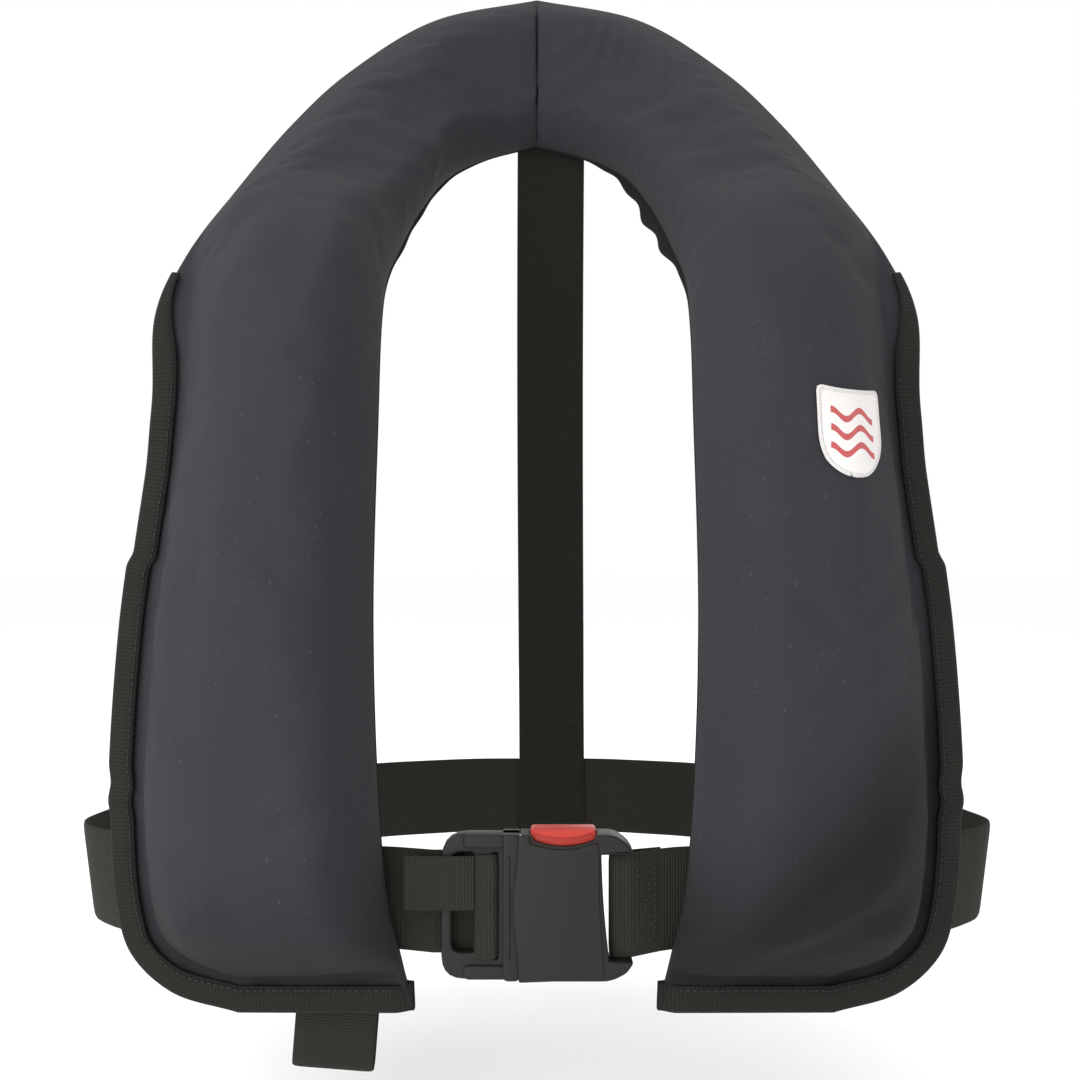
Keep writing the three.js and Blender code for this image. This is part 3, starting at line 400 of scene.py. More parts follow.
def moulded(name, base, grain=1.0, roughness=0.46, worn=1.5):
    """Moulded plastic: fine spark grain, faint flow marks and light handling scuffs."""
    shader = Shader(name)
    cells = shader.node(
        "ShaderNodeTexVoronoi", {"feature": "SMOOTH_F1"}, {"Vector": shader.place(), "Scale": 1900.0}
    )
    flow = shader.noise(45.0, 4.0, 0.6, distortion=0.6)
    scuff = shader.noise(260.0, 5.0, 0.75).above(0.64)
    tone = shader.blend(flow, linear(base, 0.86), linear(base, 1.14))
    tone = shader.blend(scuff * 0.18, tone, linear(base, worn))
    normal = shader.bump(cells * grain + shader.noise(700.0) * 0.5, 0.1 * MM, 0.5)
    return shader.finish(
        base_color=tone,
        roughness=flow * 0.14 + scuff * 0.08 + roughness,
        specular_ior_level=0.28,
        normal=normal,
    )


def buckle_plastic():
    return moulded("buckle_plastic", colours().buckle)


def button_plastic():
    return moulded("button_plastic", colours().button, grain=0.6, roughness=0.38, worn=1.25)


def housing_plastic():
    return moulded("inflator_plastic", colours().housing, grain=0.8, roughness=0.42, worn=1.8)


def cartridge_plastic():
    return moulded("cartridge_plastic", colours().badge, grain=0.5, roughness=0.4, worn=0.85)


def woven_patch():
    """White twill with three plain waves."""
    shader = Shader("badge_twill")
    along, across = shader.uv()
    twill = abs(((along + across) * (math.pi / (0.7 * MM))).sin())
    base, mark = colours().badge, colours().motif
    wave = (across * (2 * math.pi / (15 * MM))).sin() * (2.2 * MM)
    inside = 1 - abs(across).above(11.5 * MM)
    lines = [(1 - abs(along - wave - row * MM).above(1.5 * MM)) * inside for row in (-8, 0, 8)]
    ink = lines[0].most(lines[1]).most(lines[2])
    tone = shader.blend(twill * 0.25, linear(base), linear(base, 0.78))
    tone = shader.blend(ink * 0.95, tone, linear(mark))
    tone = shader.blend(shader.noise(300.0) * 0.12, tone, linear(base, 0.6))
    height = twill * 0.5 + ink * 0.9
    normal = shader.bump(height, 0.3 * MM, 0.6)
    return shader.finish(base_color=tone, roughness=0.7, sheen_weight=0.08, normal=normal)


def badge_rim():
    """The overlocked rim of the patch."""
    shader = Shader("badge_rim")
    along, _ = shader.uv()
    satin = abs((along * (math.pi / (0.8 * MM))).sin())
    base = colours().badge
    # Painted shade: the rim is painted darker between its satin stitches.
    tone = shader.blend(satin, linear(base, 0.62), linear(base, 1.0))
    return shader.finish(base_color=tone, roughness=0.55, normal=shader.bump(satin, 0.35 * MM, 0.8))


def coated_nylon():
    shader = Shader("bladder_nylon")
    crumple = shader.noise(38.0, 6.0, 0.62, distortion=1.2)
    base = colours().bladder
    # Painted shade and highlight: the nylon is painted darker in the hollows of its crumples and a little
    # lighter on their tops.
    tone = shader.blend(crumple, linear(base, 0.8), linear(base, 1.1))
    normal = shader.bump(crumple, 2.2 * MM, 0.6)
    return shader.finish(base_color=tone, roughness=crumple * 0.2 + 0.42, normal=normal)


def reflective_film():
    shader = Shader("reflective_film")
    prism = shader.node("ShaderNodeTexVoronoi", {}, {"Vector": shader.place(), "Scale": 520.0})
    grime = shader.noise(60.0)
    tone = shader.blend(grime, (0.5, 0.52, 0.54, 1), (0.68, 0.7, 0.72, 1))
    return shader.finish(
        base_color=tone, roughness=grime * 0.2 + 0.25, metallic=0.6, normal=shader.bump(prism, 0.12 * MM, 0.6)
    )


def fastening_tape():
    shader = Shader("fastening_tape")
    loops = shader.noise(1700.0, 3.0, 0.8)
    tone = shader.blend(loops, (0.008, 0.008, 0.008, 1), (0.04, 0.04, 0.04, 1))
    return shader.finish(base_color=tone, roughness=0.9, normal=shader.bump(loops, 0.7 * MM, 0.9))


def brushed_steel():
    shader = Shader("brushed_steel")
    streaks = {"Vector": shader.place(), "Scale": (900.0, 900.0, 40.0)}
    brush = shader.noise(1.0, 3.0, 0.6, shader.node("ShaderNodeMapping", {}, streaks))
    smear = shader.noise(34.0, 3.0, 0.6)
    base = colours().steel
    tone = shader.blend(smear, linear(base, 0.85), linear(base, 1.0))
    normal = shader.bump(brush, 0.05 * MM, 0.35)
    return shader.finish(base_color=tone, metallic=1.0, roughness=smear * 0.16 + 0.24, normal=normal)


def soft_rubber():
    shader = Shader("soft_rubber")
    bloom = shader.noise(55.0, 4.0, 0.6)
    base = colours().rubber
    tone = shader.blend(bloom, linear(base, 0.8), linear(base, 1.5))
    normal = shader.bump(shader.noise(1300.0), 0.12 * MM, 0.5)
    return shader.finish(base_color=tone, roughness=bloom * 0.15 + 0.62, normal=normal)


def studio_floor():
    shader = Shader("studio_floor")
    base = colours().floor
    tone = shader.blend(shader.noise(1.5, 2.0), linear(base, 0.985), linear(base, 1.0))
    return shader.finish(base_color=tone, roughness=0.75)


FINISHES = {
    "cover": cover_cloth,
    "lining": lining_cloth,
    "binding": binding_tape,
    "webbing": belt_webbing,
    "strap": strap_webbing,
    "thread": sewing_thread,
    "buckle": buckle_plastic,
    "button": button_plastic,
    "housing": housing_plastic,
    "cartridge": cartridge_plastic,
    "badge": woven_patch,
    "rim": badge_rim,
    "bladder": coated_nylon,
    "film": reflective_film,
    "tape": fastening_tape,
    "steel": brushed_steel,
    "rubber": soft_rubber,
    "floor": studio_floor,
}

# ------------------------------------------------------------------ mesh helpers


class Maker:
    """Collects the corners, faces and cloth coordinates of one piece."""

    def __init__(self):
        self.points, self.faces, self.cloth = [], [], []
        self.count = 0

    def add(self, points, cloth=None):
        points = np.asarray(points, float).reshape(-1, 3)
        if cloth is None:
            cloth = np.zeros((len(points), 2))
        self.points.append(points)
        self.cloth.append(np.asarray(cloth, float).reshape(-1, 2))
        first = self.count
        self.count += len(points)
        return first

    def sheet(self, grid, cloth=None):
        """An open grid of rows and columns."""
        rows, columns = grid.shape[:2]
        first = self.add(grid, cloth)
        for i in range(rows - 1):
            for j in range(columns - 1):
                a = first + i * columns + j
                self.faces.append((a, a + 1, a + columns + 1, a + columns))

    def tube(self, rings, cloth=None, capped=True):
        """Closed rings joined one to the next."""
        count, sides = rings.shape[:2]
        first = self.add(rings, cloth)
        for i in range(count - 1):
            for j in range(sides):
                k = (j + 1) % sides
                a, b = first + i * sides, first + (i + 1) * sides
                self.faces.append((a + j, a + k, b + k, b + j))
        if capped:
            self.faces.append(tuple(first + j for j in reversed(range(sides))))
            last = first + (count - 1) * sides
            self.faces.append(tuple(last + j for j in range(sides)))

    def piece(self, name, finish):
        mesh = bpy.data.meshes.new(name)
        points = np.concatenate(self.points)
        cloth = np.concatenate(self.cloth)
        mesh.from_pydata([tuple(p) for p in points], [], self.faces)
        corners = np.empty(len(mesh.loops), np.int32)
        mesh.loops.foreach_get("vertex_index", corners)
        mesh.uv_layers.new(name="cloth").data.foreach_set("uv", cloth[corners].ravel())
        mesh.validate()
        outward = bmesh.new()
        outward.from_mesh(mesh)
        bmesh.ops.recalc_face_normals(outward, faces=outward.faces)
        outward.to_mesh(mesh)
        outward.free()
        return shown(name, mesh, finish)


def soften(mesh):
    """Shades every face of a mesh smoothly."""
    mesh.polygons.foreach_set("use_smooth", [True] * len(mesh.polygons))


def shown(name, mesh, finish):
    """A mesh as a smooth piece in the scene, with its finish."""
    soften(mesh)
    piece = bpy.data.objects.new(name, mesh)
    bpy.context.scene.collection.objects.link(piece)
    piece.data.materials.append(finish_of(finish))
    return piece


def settle(piece):
    """Applies the modifiers of a piece to its mesh."""
    bpy.context.view_layer.update()
    graph = bpy.context.evaluated_depsgraph_get()
    mesh = bpy.data.meshes.new_from_object(piece.evaluated_get(graph), depsgraph=graph)
    piece.modifiers.clear()
    piece.data = mesh
    return piece


def read_points(piece, what):
    flat = np.empty(len(piece.data.vertices) * 3)
    piece.data.vertices.foreach_get(what, flat)
    return flat.reshape(-1, 3)


def places(piece):
    return read_points(piece, "co")


def normals_of(piece):
    return read_points(piece, "normal")


def thicken(piece, wall, offset, fine=True):
    """Gives an open sheet of cloth its wall, and smooths it once."""
    solid = piece.modifiers.new("wall", "SOLIDIFY")
    solid.thickness, solid.offset = wall, offset
    if fine:
        smoothing = piece.modifiers.new("fine", "SUBSURF")
        smoothing.levels = smoothing.render_levels = 1
    settle(piece)


def move_to(piece, points):
    piece.data.vertices.foreach_set("co", np.asarray(points, float).ravel())
    piece.data.update()


def rounded(points, reach, step=2 * MM):
    """A line through points with its corners rounded, in steps of about a length."""
    points = [np.asarray(p, float) for p in points]
    line = [points[0]]
    for before, here, after in zip(points, points[1:], points[2:]):
        first, second = before - here, after - here
        room = min(reach, 0.48 * np.linalg.norm(first), 0.48 * np.linalg.norm(second))
        start = here + first / np.linalg.norm(first) * room
        end = here + second / np.linalg.norm(second) * room
        for t in np.linspace(0, 1, 6):
            line.append((1 - t) ** 2 * start + 2 * t * (1 - t) * here + t * t * end)
    line.append(points[-1])
    return resampled(np.array(line), step)


def resampled(line, step):
    gaps = np.linalg.norm(np.diff(line, axis=0), axis=1)
    along = np.concatenate([[0], np.cumsum(gaps)])
    keep = np.concatenate([[True], gaps > 1e-7])
    line, along = line[keep], along[keep]
    marks = np.linspace(0, along[-1], max(int(round(along[-1] / step)), 2) + 1)
    return np.stack([np.interp(marks, along, line[:, k]) for k in range(3)], axis=1)


def unit(vectors):
    return vectors / np.maximum(np.linalg.norm(vectors, axis=-1, keepdims=True), 1e-12)


def tangents(line):
    return unit(np.gradient(line, axis=0))


def along_of(line):
    return np.concatenate([[0], np.cumsum(np.linalg.norm(np.diff(line, axis=0), axis=1))])


WEB_SHARES = (-1, -0.985, -0.94, -0.8, -0.5, 0, 0.5, 0.8, 0.94, 0.985, 1)


def webbing(maker, line, across, width, thickness):
    """Webbing with soft edges along a line, with a width direction for each point of it."""
    line = np.asarray(line, float)
    across = unit(np.broadcast_to(np.asarray(across, float), line.shape).copy())
    facing = unit(np.cross(tangents(line), across))
    shares = np.array(WEB_SHARES)
    full = thickness / 2 * np.clip((1 - np.abs(shares) ** 24), 0.25, 1)
    side = np.concatenate([shares, shares[::-1]]) * width / 2
    lift = np.concatenate([full, -full[::-1]])
    rings = line[:, None] + across[:, None] * side[None, :, None] + facing[:, None] * lift[None, :, None]
    along = np.broadcast_to(along_of(line)[:, None], rings.shape[:2])
    cloth = np.stack([along, np.broadcast_to(side[None], rings.shape[:2])], axis=-1)
    maker.tube(rings, cloth)
    return facing


def stitches(maker, line, facing, pitch=None, thread=0.32 * MM):
    """A row of sewn stitches along a line, lying on the cloth that faces facing."""
    pitch = pitch or sizes().stitch_pitch
    line = np.asarray(line, float)
    facing = np.broadcast_to(np.asarray(facing, float), line.shape)
    along = along_of(line)
    starts = np.arange(pitch * 0.3, along[-1] - pitch * 0.5, pitch)
    shares = np.array([0.0, 0.12, 0.5, 0.88, 1.0]) * pitch * 0.74
    thick = np.array([0.35, 0.9, 1.0, 0.9, 0.35]) * thread
    sink = np.array([-0.25, 0.35, 0.75, 0.35, -0.25]) * thread
    angles = np.linspace(0, 2 * math.pi, 6, endpoint=False)
    for start in starts:
        marks = start + shares
        spine = np.stack([np.interp(marks, along, line[:, k]) for k in range(3)], axis=1)
        up = unit(np.stack([np.interp(marks, along, facing[:, k]) for k in range(3)], axis=1))
        side = unit(np.cross(tangents(spine), up))
        spine = spine + up * sink[:, None]
        ring = (
            side[:, None] * np.cos(angles)[None, :, None] + up[:, None] * np.sin(angles)[None, :, None]
        ) * thick[:, None, None]
        maker.tube(spine[:, None] + ring)


def inset(loop, distance):
    """A closed outline moved in towards its left side."""
    before, after = np.roll(loop, 1, axis=0), np.roll(loop, -1, axis=0)
    normals = []
    for step in (loop - before, after - loop):
        step = unit(step)
        normals.append(np.stack([-step[:, 1], step[:, 0]], axis=1))
    middle = unit(normals[0] + normals[1])
    reach = np.maximum((middle * normals[0]).sum(axis=1), 0.5)
    return loop + middle * (distance / reach)[:, None]


def turned_left(loop, left=True):
    """An outline that runs anticlockwise, or clockwise for a hole."""
    loop = np.asarray(loop, float)
    after = np.roll(loop, -1, axis=0)
    area = (loop[:, 0] * after[:, 1] - after[:, 0] * loop[:, 1]).sum()
    return loop if (area > 0) == left else loop[::-1]


def plate(name, outline, holes, y_front, y_back, bevel, finish):
    """A moulded plate drawn in X and Z, from one Y to another, with rounded edges."""
    loops = [turned_left(outline)] + [turned_left(hole, False) for hole in holes]
    turn = np.linspace(0, math.pi / 2, 5)
    levels = [(bevel * (1 - math.sin(t)), y_front + bevel * (1 - math.cos(t))) for t in turn]
    levels += [(bevel * (1 - math.sin(t)), y_back - bevel * (1 - math.cos(t))) for t in turn[::-1]]
    maker = Maker()
    starts = []
    for loop in loops:
        rings = []
        for distance, y in levels:
            flat = inset(loop, distance)
            rings.append(np.stack([flat[:, 0], np.full(len(flat), y), flat[:, 1]], axis=1))
        starts.append(maker.count)
        maker.tube(np.array(rings), capped=False)
    for level, (distance, _) in ((0, levels[0]), (len(levels) - 1, levels[-1])):
        flats = [inset(loop, distance) for loop in loops]
        triangles = tessellate_polygon([[Vector((x, z, 0)) for x, z in flat] for flat in flats])
        corners = [
            start + level * len(loop) + k for start, loop in zip(starts, loops) for k in range(len(loop))
        ]
        for triangle in triangles:
            maker.faces.append(tuple(corners[k] for k in triangle))
    return maker.piece(name, finish)


def rim(points, corner, steps=6):
    """A closed outline with its corners rounded by a radius, or by one radius each."""
    points = [np.asarray(p, float) for p in points]
    corners = corner if isinstance(corner, (list, tuple)) else [corner] * len(points)
    loop = []
    for k, here in enumerate(points):
        before, after = points[k - 1], points[(k + 1) % len(points)]
        room = min(corners[k], 0.48 * np.linalg.norm(before - here), 0.48 * np.linalg.norm(after - here))
        start = here + unit(before - here) * room
        end = here + unit(after - here) * room
        if room < 1e-6:
            loop.append(tuple(here))
            continue
        for t in np.linspace(0, 1, steps):
            loop.append(tuple((1 - t) ** 2 * start + 2 * t * (1 - t) * here + t * t * end))
    return loop


def cut_out(piece, other):
    """Takes one mesh out of another, and removes it from the scene."""
    cut = piece.modifiers.new("cut", "BOOLEAN")
    cut.operation, cut.object, cut.solver = "DIFFERENCE", other, "EXACT"
    settle(piece)
    bpy.data.objects.remove(other)


def joined(pieces, name):
    """Several shown meshes as one."""
    first = pieces[0]
    whole = bmesh.new()
    for piece in pieces:
        whole.from_mesh(piece.data)
    mesh = bpy.data.meshes.new(name)
    whole.to_mesh(mesh)
    whole.free()
    for material in first.data.materials:
        mesh.materials.append(material)
    for piece in pieces:
        bpy.data.objects.remove(piece)
    made = bpy.data.objects.new(name, mesh)
    bpy.context.scene.collection.objects.link(made)
    return made


def by_angle(piece, degrees=35):
    """Smooth faces with crisp edges where they meet at more than an angle."""
    soften(piece.data)
    piece.data.set_sharp_from_angle(angle=math.radians(degrees))


# ------------------------------------------------------------------ the cover's surface

# The pattern of one half: the inner and the outer edge from the hem up to the nape.
INNER = (
    (59, -221, -490), (63, -222, -476), (66, -224, -462), (71, -225, -441), (75, -229, -397),
    (78, -231, -302), (76, -227, -200), (77, -207, -155), (78, -177, -127), (76, -135, -101),
    (69, -90, -67.5), (55, -45, -34), (31.5, -13, -12), (0, 0, 0),
)
OUTER = (
    (146, -210, -494), (180, -204, -486), (201, -201, -468), (208, -200, -446), (211, -200, -399),
    (205, -202, -307), (190, -202, -196), (192, -192, -150), (185, -169, -114), (170, -132, -71),
    (148, -87, -18), (121, -39, 33), (69, 7, 87), (0, 25, 109),
)
COLLAR_GRADE = 107 / 109  # the collar is cut this much lower than it is drawn
SHOULDER = 0.6  # how far up the edge the pattern keeps its flat margin
BINDING_END = 0.585  # how far up it the binding runs
TAPE_STACK = 3 * GAP + 2 * 0.9 * MM
CLEARANCE = 1 * MM


def graded(points):
    cut = np.array(points, float) * MM
    cut[:, 2] = np.where(cut[:, 2] > 0, cut[:, 2] * COLLAR_GRADE, cut[:, 2])
    return cut


def edge_at(points, t):
    """Points of a smooth edge through the pattern's points, t from 0 at the hem to 1 at the nape."""
    padded = np.concatenate([[2 * points[0] - points[1]], points, [2 * points[-1] - points[-2]]])
    t = np.atleast_1d(np.asarray(t, float)) * (len(points) - 1)
    k = np.clip(np.floor(t).astype(int), 0, len(points) - 2)
    w = (t - k)[:, None]
    p0, p1, p2, p3 = (padded[k + n] for n in range(4))
    d0, d1, d2 = (np.sqrt(np.linalg.norm(b - a, axis=1))[:, None] for a, b in ((p0, p1), (p1, p2), (p2, p3)))
    lead = ((p1 - p0) / d0 - (p2 - p0) / (d0 + d1) + (p2 - p1) / d1) * d1
    trail = ((p2 - p1) / d1 - (p3 - p1) / (d1 + d2) + (p3 - p2) / d2) * d1
    square = -3 * p1 + 3 * p2 - 2 * lead - trail
    cube = 2 * p1 - 2 * p2 + lead + trail
    return p1 + lead * w + square * w**2 + cube * w**3


def smooth(t):
    s = np.clip(t, 0, 1)
    return s * s * (3 - 2 * s)


def mix(a, b, t):
    return a + (b - a) * t


class EdgePlane:
    """The plane between the inner and the outer edge at each of several places up one half."""

    def __init__(self, v):
        self.v = v = np.atleast_1d(np.asarray(v, float))
        inner, outer = graded(INNER), graded(OUTER)
        self.inner, self.outer = edge_at(inner, v), edge_at(outer, v)
        self.across = unit(self.outer - self.inner)
        self.width = np.linalg.norm(self.outer - self.inner, axis=1)
        low, high = np.clip(v - 1e-3, 0, 1), np.clip(v + 1e-3, 0, 1)
        rise = edge_at(inner, high) + edge_at(outer, high) - edge_at(inner, low) - edge_at(outer, low)
        along = unit(rise)
        along[v > 1 - 1e-3] = (-1, 0, 0)
        self.front = unit(np.cross(self.across, along))

    def point(self, a, b):
        """Points a across from the inner edge and b out to the front, one row for each place."""
        a, b = np.asarray(a, float), np.asarray(b, float)
        made = self.inner[:, None] + self.across[:, None] * a[..., None] + self.front[:, None] * b[..., None]
        made[..., 0] = np.maximum(made[..., 0], 0)
        return made


def bound_edge(reach=BINDING_END, step=2 * MM):
    """The edge from the hem's inner corner, round the outer corner and up the side."""
    hem = EdgePlane([0])
    start, end = hem.inner[0], hem.outer[0]
    side = EdgePlane(np.linspace(0, reach, 260)).outer
    line = np.concatenate([start + (end - start) * np.linspace(0, 1, 24)[:-1, None], side])
    return resampled(line, step)


def edge_distance(points):
    """How far each point is from the bound edge."""
    line = bound_edge(1.0, 8 * MM)
    best = np.full(len(points), 1e9)
    for a, b in zip(line, line[1:]):
        step = b - a
        t = np.clip(((points - a) @ step) / (step @ step), 0, 1)
        best = np.minimum(best, np.linalg.norm(points - (a + t[:, None] * step), axis=1))
    return best


def lobe_height(plane, a):
    """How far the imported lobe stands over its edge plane."""
    s = sizes()
    v = plane.v[:, None]
    collar = smooth((v - 0.5) / 0.3)
    flat = mix(s.binding_width + 6 * MM, 1.5 * MM, smooth((v - 0.52) / 0.14))
    rise = mix(62 * MM, 38 * MM, collar)
    ground = plane.inner[:, None] + plane.across[:, None] * a[..., None]
    to_edge = edge_distance(ground.reshape(-1, 3)).reshape(a.shape)
    out = np.sin(math.pi / 2 * np.clip((to_edge - flat) / rise, 0, 1)) ** 0.8
    roll = mix(s.edge_roll, s.edge_roll * 0.8, collar)
    inset = 1 - np.clip(a / roll, 0, 1)
    return mix(s.lobe_height, s.collar_height, collar) * out * np.sqrt(1 - inset**2)


def even_places(step):
    """Places up one half, evenly spaced along its middle line."""
    v = np.linspace(0, 1, 800)
    plane = EdgePlane(v)
    along = along_of((plane.inner * 0.4 + plane.outer * 0.6))
    marks = np.linspace(0, along[-1], int(along[-1] / step) + 1)
    return np.interp(marks, along, v), marks


def both_halves(right):
    """A grid of the right half carried on over the nape to the left half's hem."""
    left = right[::-1][1:].copy()
    left[..., 0] *= -1
    return np.concatenate([right, left])


def waves(points, seed, size, count=24):
    """Smooth random waves over points, about -1 to 1."""
    draw = np.random.default_rng(seed)
    total = np.zeros(len(points))
    for _ in range(count):
        way = unit(draw.normal(size=3))
        turn = 2 * math.pi / (size * draw.uniform(0.6, 1.6))
        total += np.sin(points @ way * turn + draw.uniform(0, 6.28))
    return total / math.sqrt(count) * 0.8


# ------------------------------------------------------------------ cover


def crease(points, start, end, depth, spread, lift=0.4):
    """A soft fold in the cloth along a line seen from the front, with its ridge beside it."""
    start, end = np.array(start) * MM, np.array(end) * MM
    step = end - start
    flat = points[:, [0, 2]]
    t = np.clip(((flat - start) @ step) / (step @ step), 0, 1)
    away = flat - (start + t[:, None] * step)
    side = away @ np.array([-step[1], step[0]]) / np.linalg.norm(step)
    fade = np.sin(math.pi * np.clip(t, 0.02, 0.98)) ** 0.6
    fade = fade * np.exp(-((np.linalg.norm(away, axis=1) / (3 * spread)) ** 4))
    valley = -np.exp(-((side / spread) ** 2))
    ridge = lift * np.exp(-(((side - 1.9 * spread) / (1.2 * spread)) ** 2))
    ridge += lift * 0.7 * np.exp(-(((side + 1.9 * spread) / (1.3 * spread)) ** 2))
    return depth * fade * (valley + ridge)


def cover_grid():
    """Rows up the right half, over the nape and down the left, of points from the inner fold to the edge."""
    s = sizes()
    v, along = even_places(s.cloth_step)
    plane = EdgePlane(v)
    rolls, flats = 11, 34
    turn = 1 - np.cos(np.linspace(0, math.pi / 2, rolls))
    collar = smooth((v - 0.5) / 0.3)
    roll = mix(s.edge_roll, s.edge_roll * 0.8, collar)[:, None]
    rest = np.linspace(0, 1, flats)[1:]
    width = plane.width[:, None]
    a = np.concatenate([roll * turn[None], roll + (width - roll) * rest[None]], axis=1)
    height = lobe_height(plane, a)
    seam = np.abs(along[-1] - along)[:, None]
    drawn_in = s.seam_depth * np.exp(-seam / (4.5 * MM)) * np.clip(height / (12 * MM), 0, 1)
    height = np.maximum(height - drawn_in, 0)
    b = TAPE_STACK + height + 1.6 * MM
    lip_a = np.zeros((len(v), 1))
    lip_b = np.full((len(v), 1), GAP)
    a, b = np.concatenate([lip_a, a], axis=1), np.concatenate([lip_b, b], axis=1)
    points = plane.point(a, b)
    steps = np.linalg.norm(np.diff(points, axis=1), axis=2)
    spread = np.concatenate([np.zeros((len(v), 1)), np.cumsum(steps, axis=1)], axis=1)
    cloth = np.stack([np.broadcast_to(along[:, None], spread.shape), spread], axis=-1)
    other = cloth[::-1][1:].copy()
    other[..., 0] = 2 * along[-1] - other[..., 0]
    return both_halves(points), np.concatenate([cloth, other]), both_halves_of(plane.width[:, None] - a), v


def both_halves_of(values):
    return np.concatenate([values, values[::-1][1:]])


def swollen(piece, held, give):
    """Fills a cloth with air, its edges held, and keeps each point within a distance of its start."""
    s = sizes()
    start, normals = places(piece), normals_of(piece)
    pins = piece.vertex_groups.new(name="held")
    for index, weight in enumerate(held):
        if weight > 0:
            pins.add([index], float(weight), "REPLACE")
    sim = piece.modifiers.new("cloth", "CLOTH")
    cloth = sim.settings
    cloth.quality, cloth.mass, cloth.air_damping = 6, 0.25, 6.0
    cloth.tension_stiffness = cloth.compression_stiffness = 18
    cloth.shear_stiffness, cloth.bending_stiffness = 8, 0.35
    cloth.tension_damping = cloth.compression_damping = cloth.shear_damping = 12
    cloth.bending_damping = 1.0
    cloth.vertex_group_mass, cloth.pin_stiffness = "held", 1.0
    cloth.shrink_min = cloth.shrink_max = -s.slack
    cloth.use_pressure, cloth.uniform_pressure_force = True, s.swell
    cloth.effector_weights.gravity = 0
    sim.collision_settings.use_collision = False
    scene = bpy.context.scene
    sim.point_cache.frame_start, sim.point_cache.frame_end = 1, 20
    for step in range(1, 21):
        scene.frame_set(step)
    settle(piece)
    scene.frame_set(1)
    moved = places(piece) - start
    out = (moved * normals).sum(axis=1)
    rest = moved - normals * out[:, None]
    out = np.where(out > 0, np.tanh(out / give) * give, np.tanh(out / (0.3 * give)) * 0.3 * give)
    size = np.maximum(np.linalg.norm(rest, axis=1), 1e-9)[:, None]
    rest = rest / size * np.tanh(size / (0.6 * give)) * 0.6 * give
    move_to(piece, start + normals * out[:, None] + rest)


def crease_cover(piece, free):
    """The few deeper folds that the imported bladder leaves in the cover."""
    flat = places(piece)
    folds = crease(flat, (66, -472), (166, -384), 3.6 * MM, 9 * MM, 0.55)
    folds += crease(flat, (100, -468), (190, -420), 2.2 * MM, 8 * MM, 0.5)
    folds += crease(flat, (-158, -170), (-164, -390), 2.4 * MM, 13 * MM, 0.35)
    folds += crease(flat, (-104, -250), (-110, -420), 1.3 * MM, 10 * MM, 0.3)
    folds += crease(flat, (166, -190), (158, -330), 1.8 * MM, 11 * MM, 0.3)
    folds += crease(flat, (-186, -262), (-150, -286), 1.6 * MM, 6 * MM, 0.5)
    folds += crease(flat, (190, -268), (156, -292), 1.6 * MM, 6 * MM, 0.5)
    move_to(piece, flat + normals_of(piece) * (folds * free)[:, None])


def make_cover():
    s = sizes()
    grid, cloth, to_edge, _ = cover_grid()
    rows, columns = grid.shape[:2]
    flat = grid.reshape(-1, 3)
    maker = Maker()
    maker.sheet(grid, cloth)
    piece = maker.piece("jacket_cover", "cover")
    normals = normals_of(piece)
    if normals[rows // 4 * columns + columns // 2][1] > 0:
        piece.data.flip_normals()
        normals = -normals
    edge = to_edge.reshape(-1)
    free = smooth((edge - 17 * MM) / (16 * MM)) * np.tile(smooth((np.arange(columns) - 2) / 6), rows)
    folds = waves(flat * (1, 1, 0.45), s.seed, 60 * MM) * 1.1 * MM
    folds += waves(flat, s.seed + 1, 26 * MM) * 0.35 * MM
    for k in range(7):
        folds += crease(flat, (40 + 9 * k, 84 - 5.2 * k), (30 + 10 * k, 46 - 8 * k), 1.5 * MM, 2.6 * MM)
    move_to(piece, flat + normals * (folds * free)[:, None])
    column = np.tile(np.arange(columns), rows)
    row = np.repeat(np.arange(rows), columns)
    held = np.clip(1 - (edge - 10 * MM) / (6 * MM), 0, 1)
    held = np.maximum(held, (column < 3) * 1.0)
    held = np.maximum(held, (np.abs(row - rows // 2) < 1) * 1.0)
    held = np.maximum(held, ((row < 2) | (row > rows - 3)) * 1.0)
    swollen(piece, held, s.cloth_give)
    crease_cover(piece, free)
    thicken(piece, s.panel_wall, -1)
    soften(piece.data)
    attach(piece, "jacket")
    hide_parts("cover_front_left", "cover_front_right")


def make_lining():
    s = sizes()
    v, along = even_places(5 * MM)
    plane = EdgePlane(v)
    shares = np.linspace(0, 1, 26)
    grids = []
    for show in (7 * MM, 1.5 * MM):
        # The lining rolls forward past the fold beside the neck, more on the right than on the left.
        out = show * np.exp(-(((v - 0.76) / 0.11) ** 2)) * (1 + 0.25 * np.sin(along / (9 * MM)))
        a = -out[:, None] + (plane.width + out)[:, None] * shares[None]
        grids.append(plane.point(a, np.full_like(a, -s.lining_wall / 2)))
    cloth = np.stack([np.broadcast_to(along[:, None], a.shape), a], axis=-1)
    other = cloth[::-1][1:].copy()
    other[..., 0] = 2 * along[-1] - other[..., 0]
    maker = Maker()
    grid = np.concatenate([grids[0], both_halves(grids[1])[len(v):]])
    maker.sheet(grid, np.concatenate([cloth, other]))
    piece = maker.piece("body_lining", "lining")
    flat = grid.reshape(-1, 3)
    fade = np.tile(np.sin(math.pi * shares) ** 0.5, len(grid))
    rumple = waves(flat, 21, 45 * MM) * fade * 0.5 * MM
    move_to(piece, flat + normals_of(piece) * rumple[:, None])
    thicken(piece, s.lining_wall, 0)
    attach(piece, "jacket")
    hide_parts("cover_back_left", "cover_back_right")


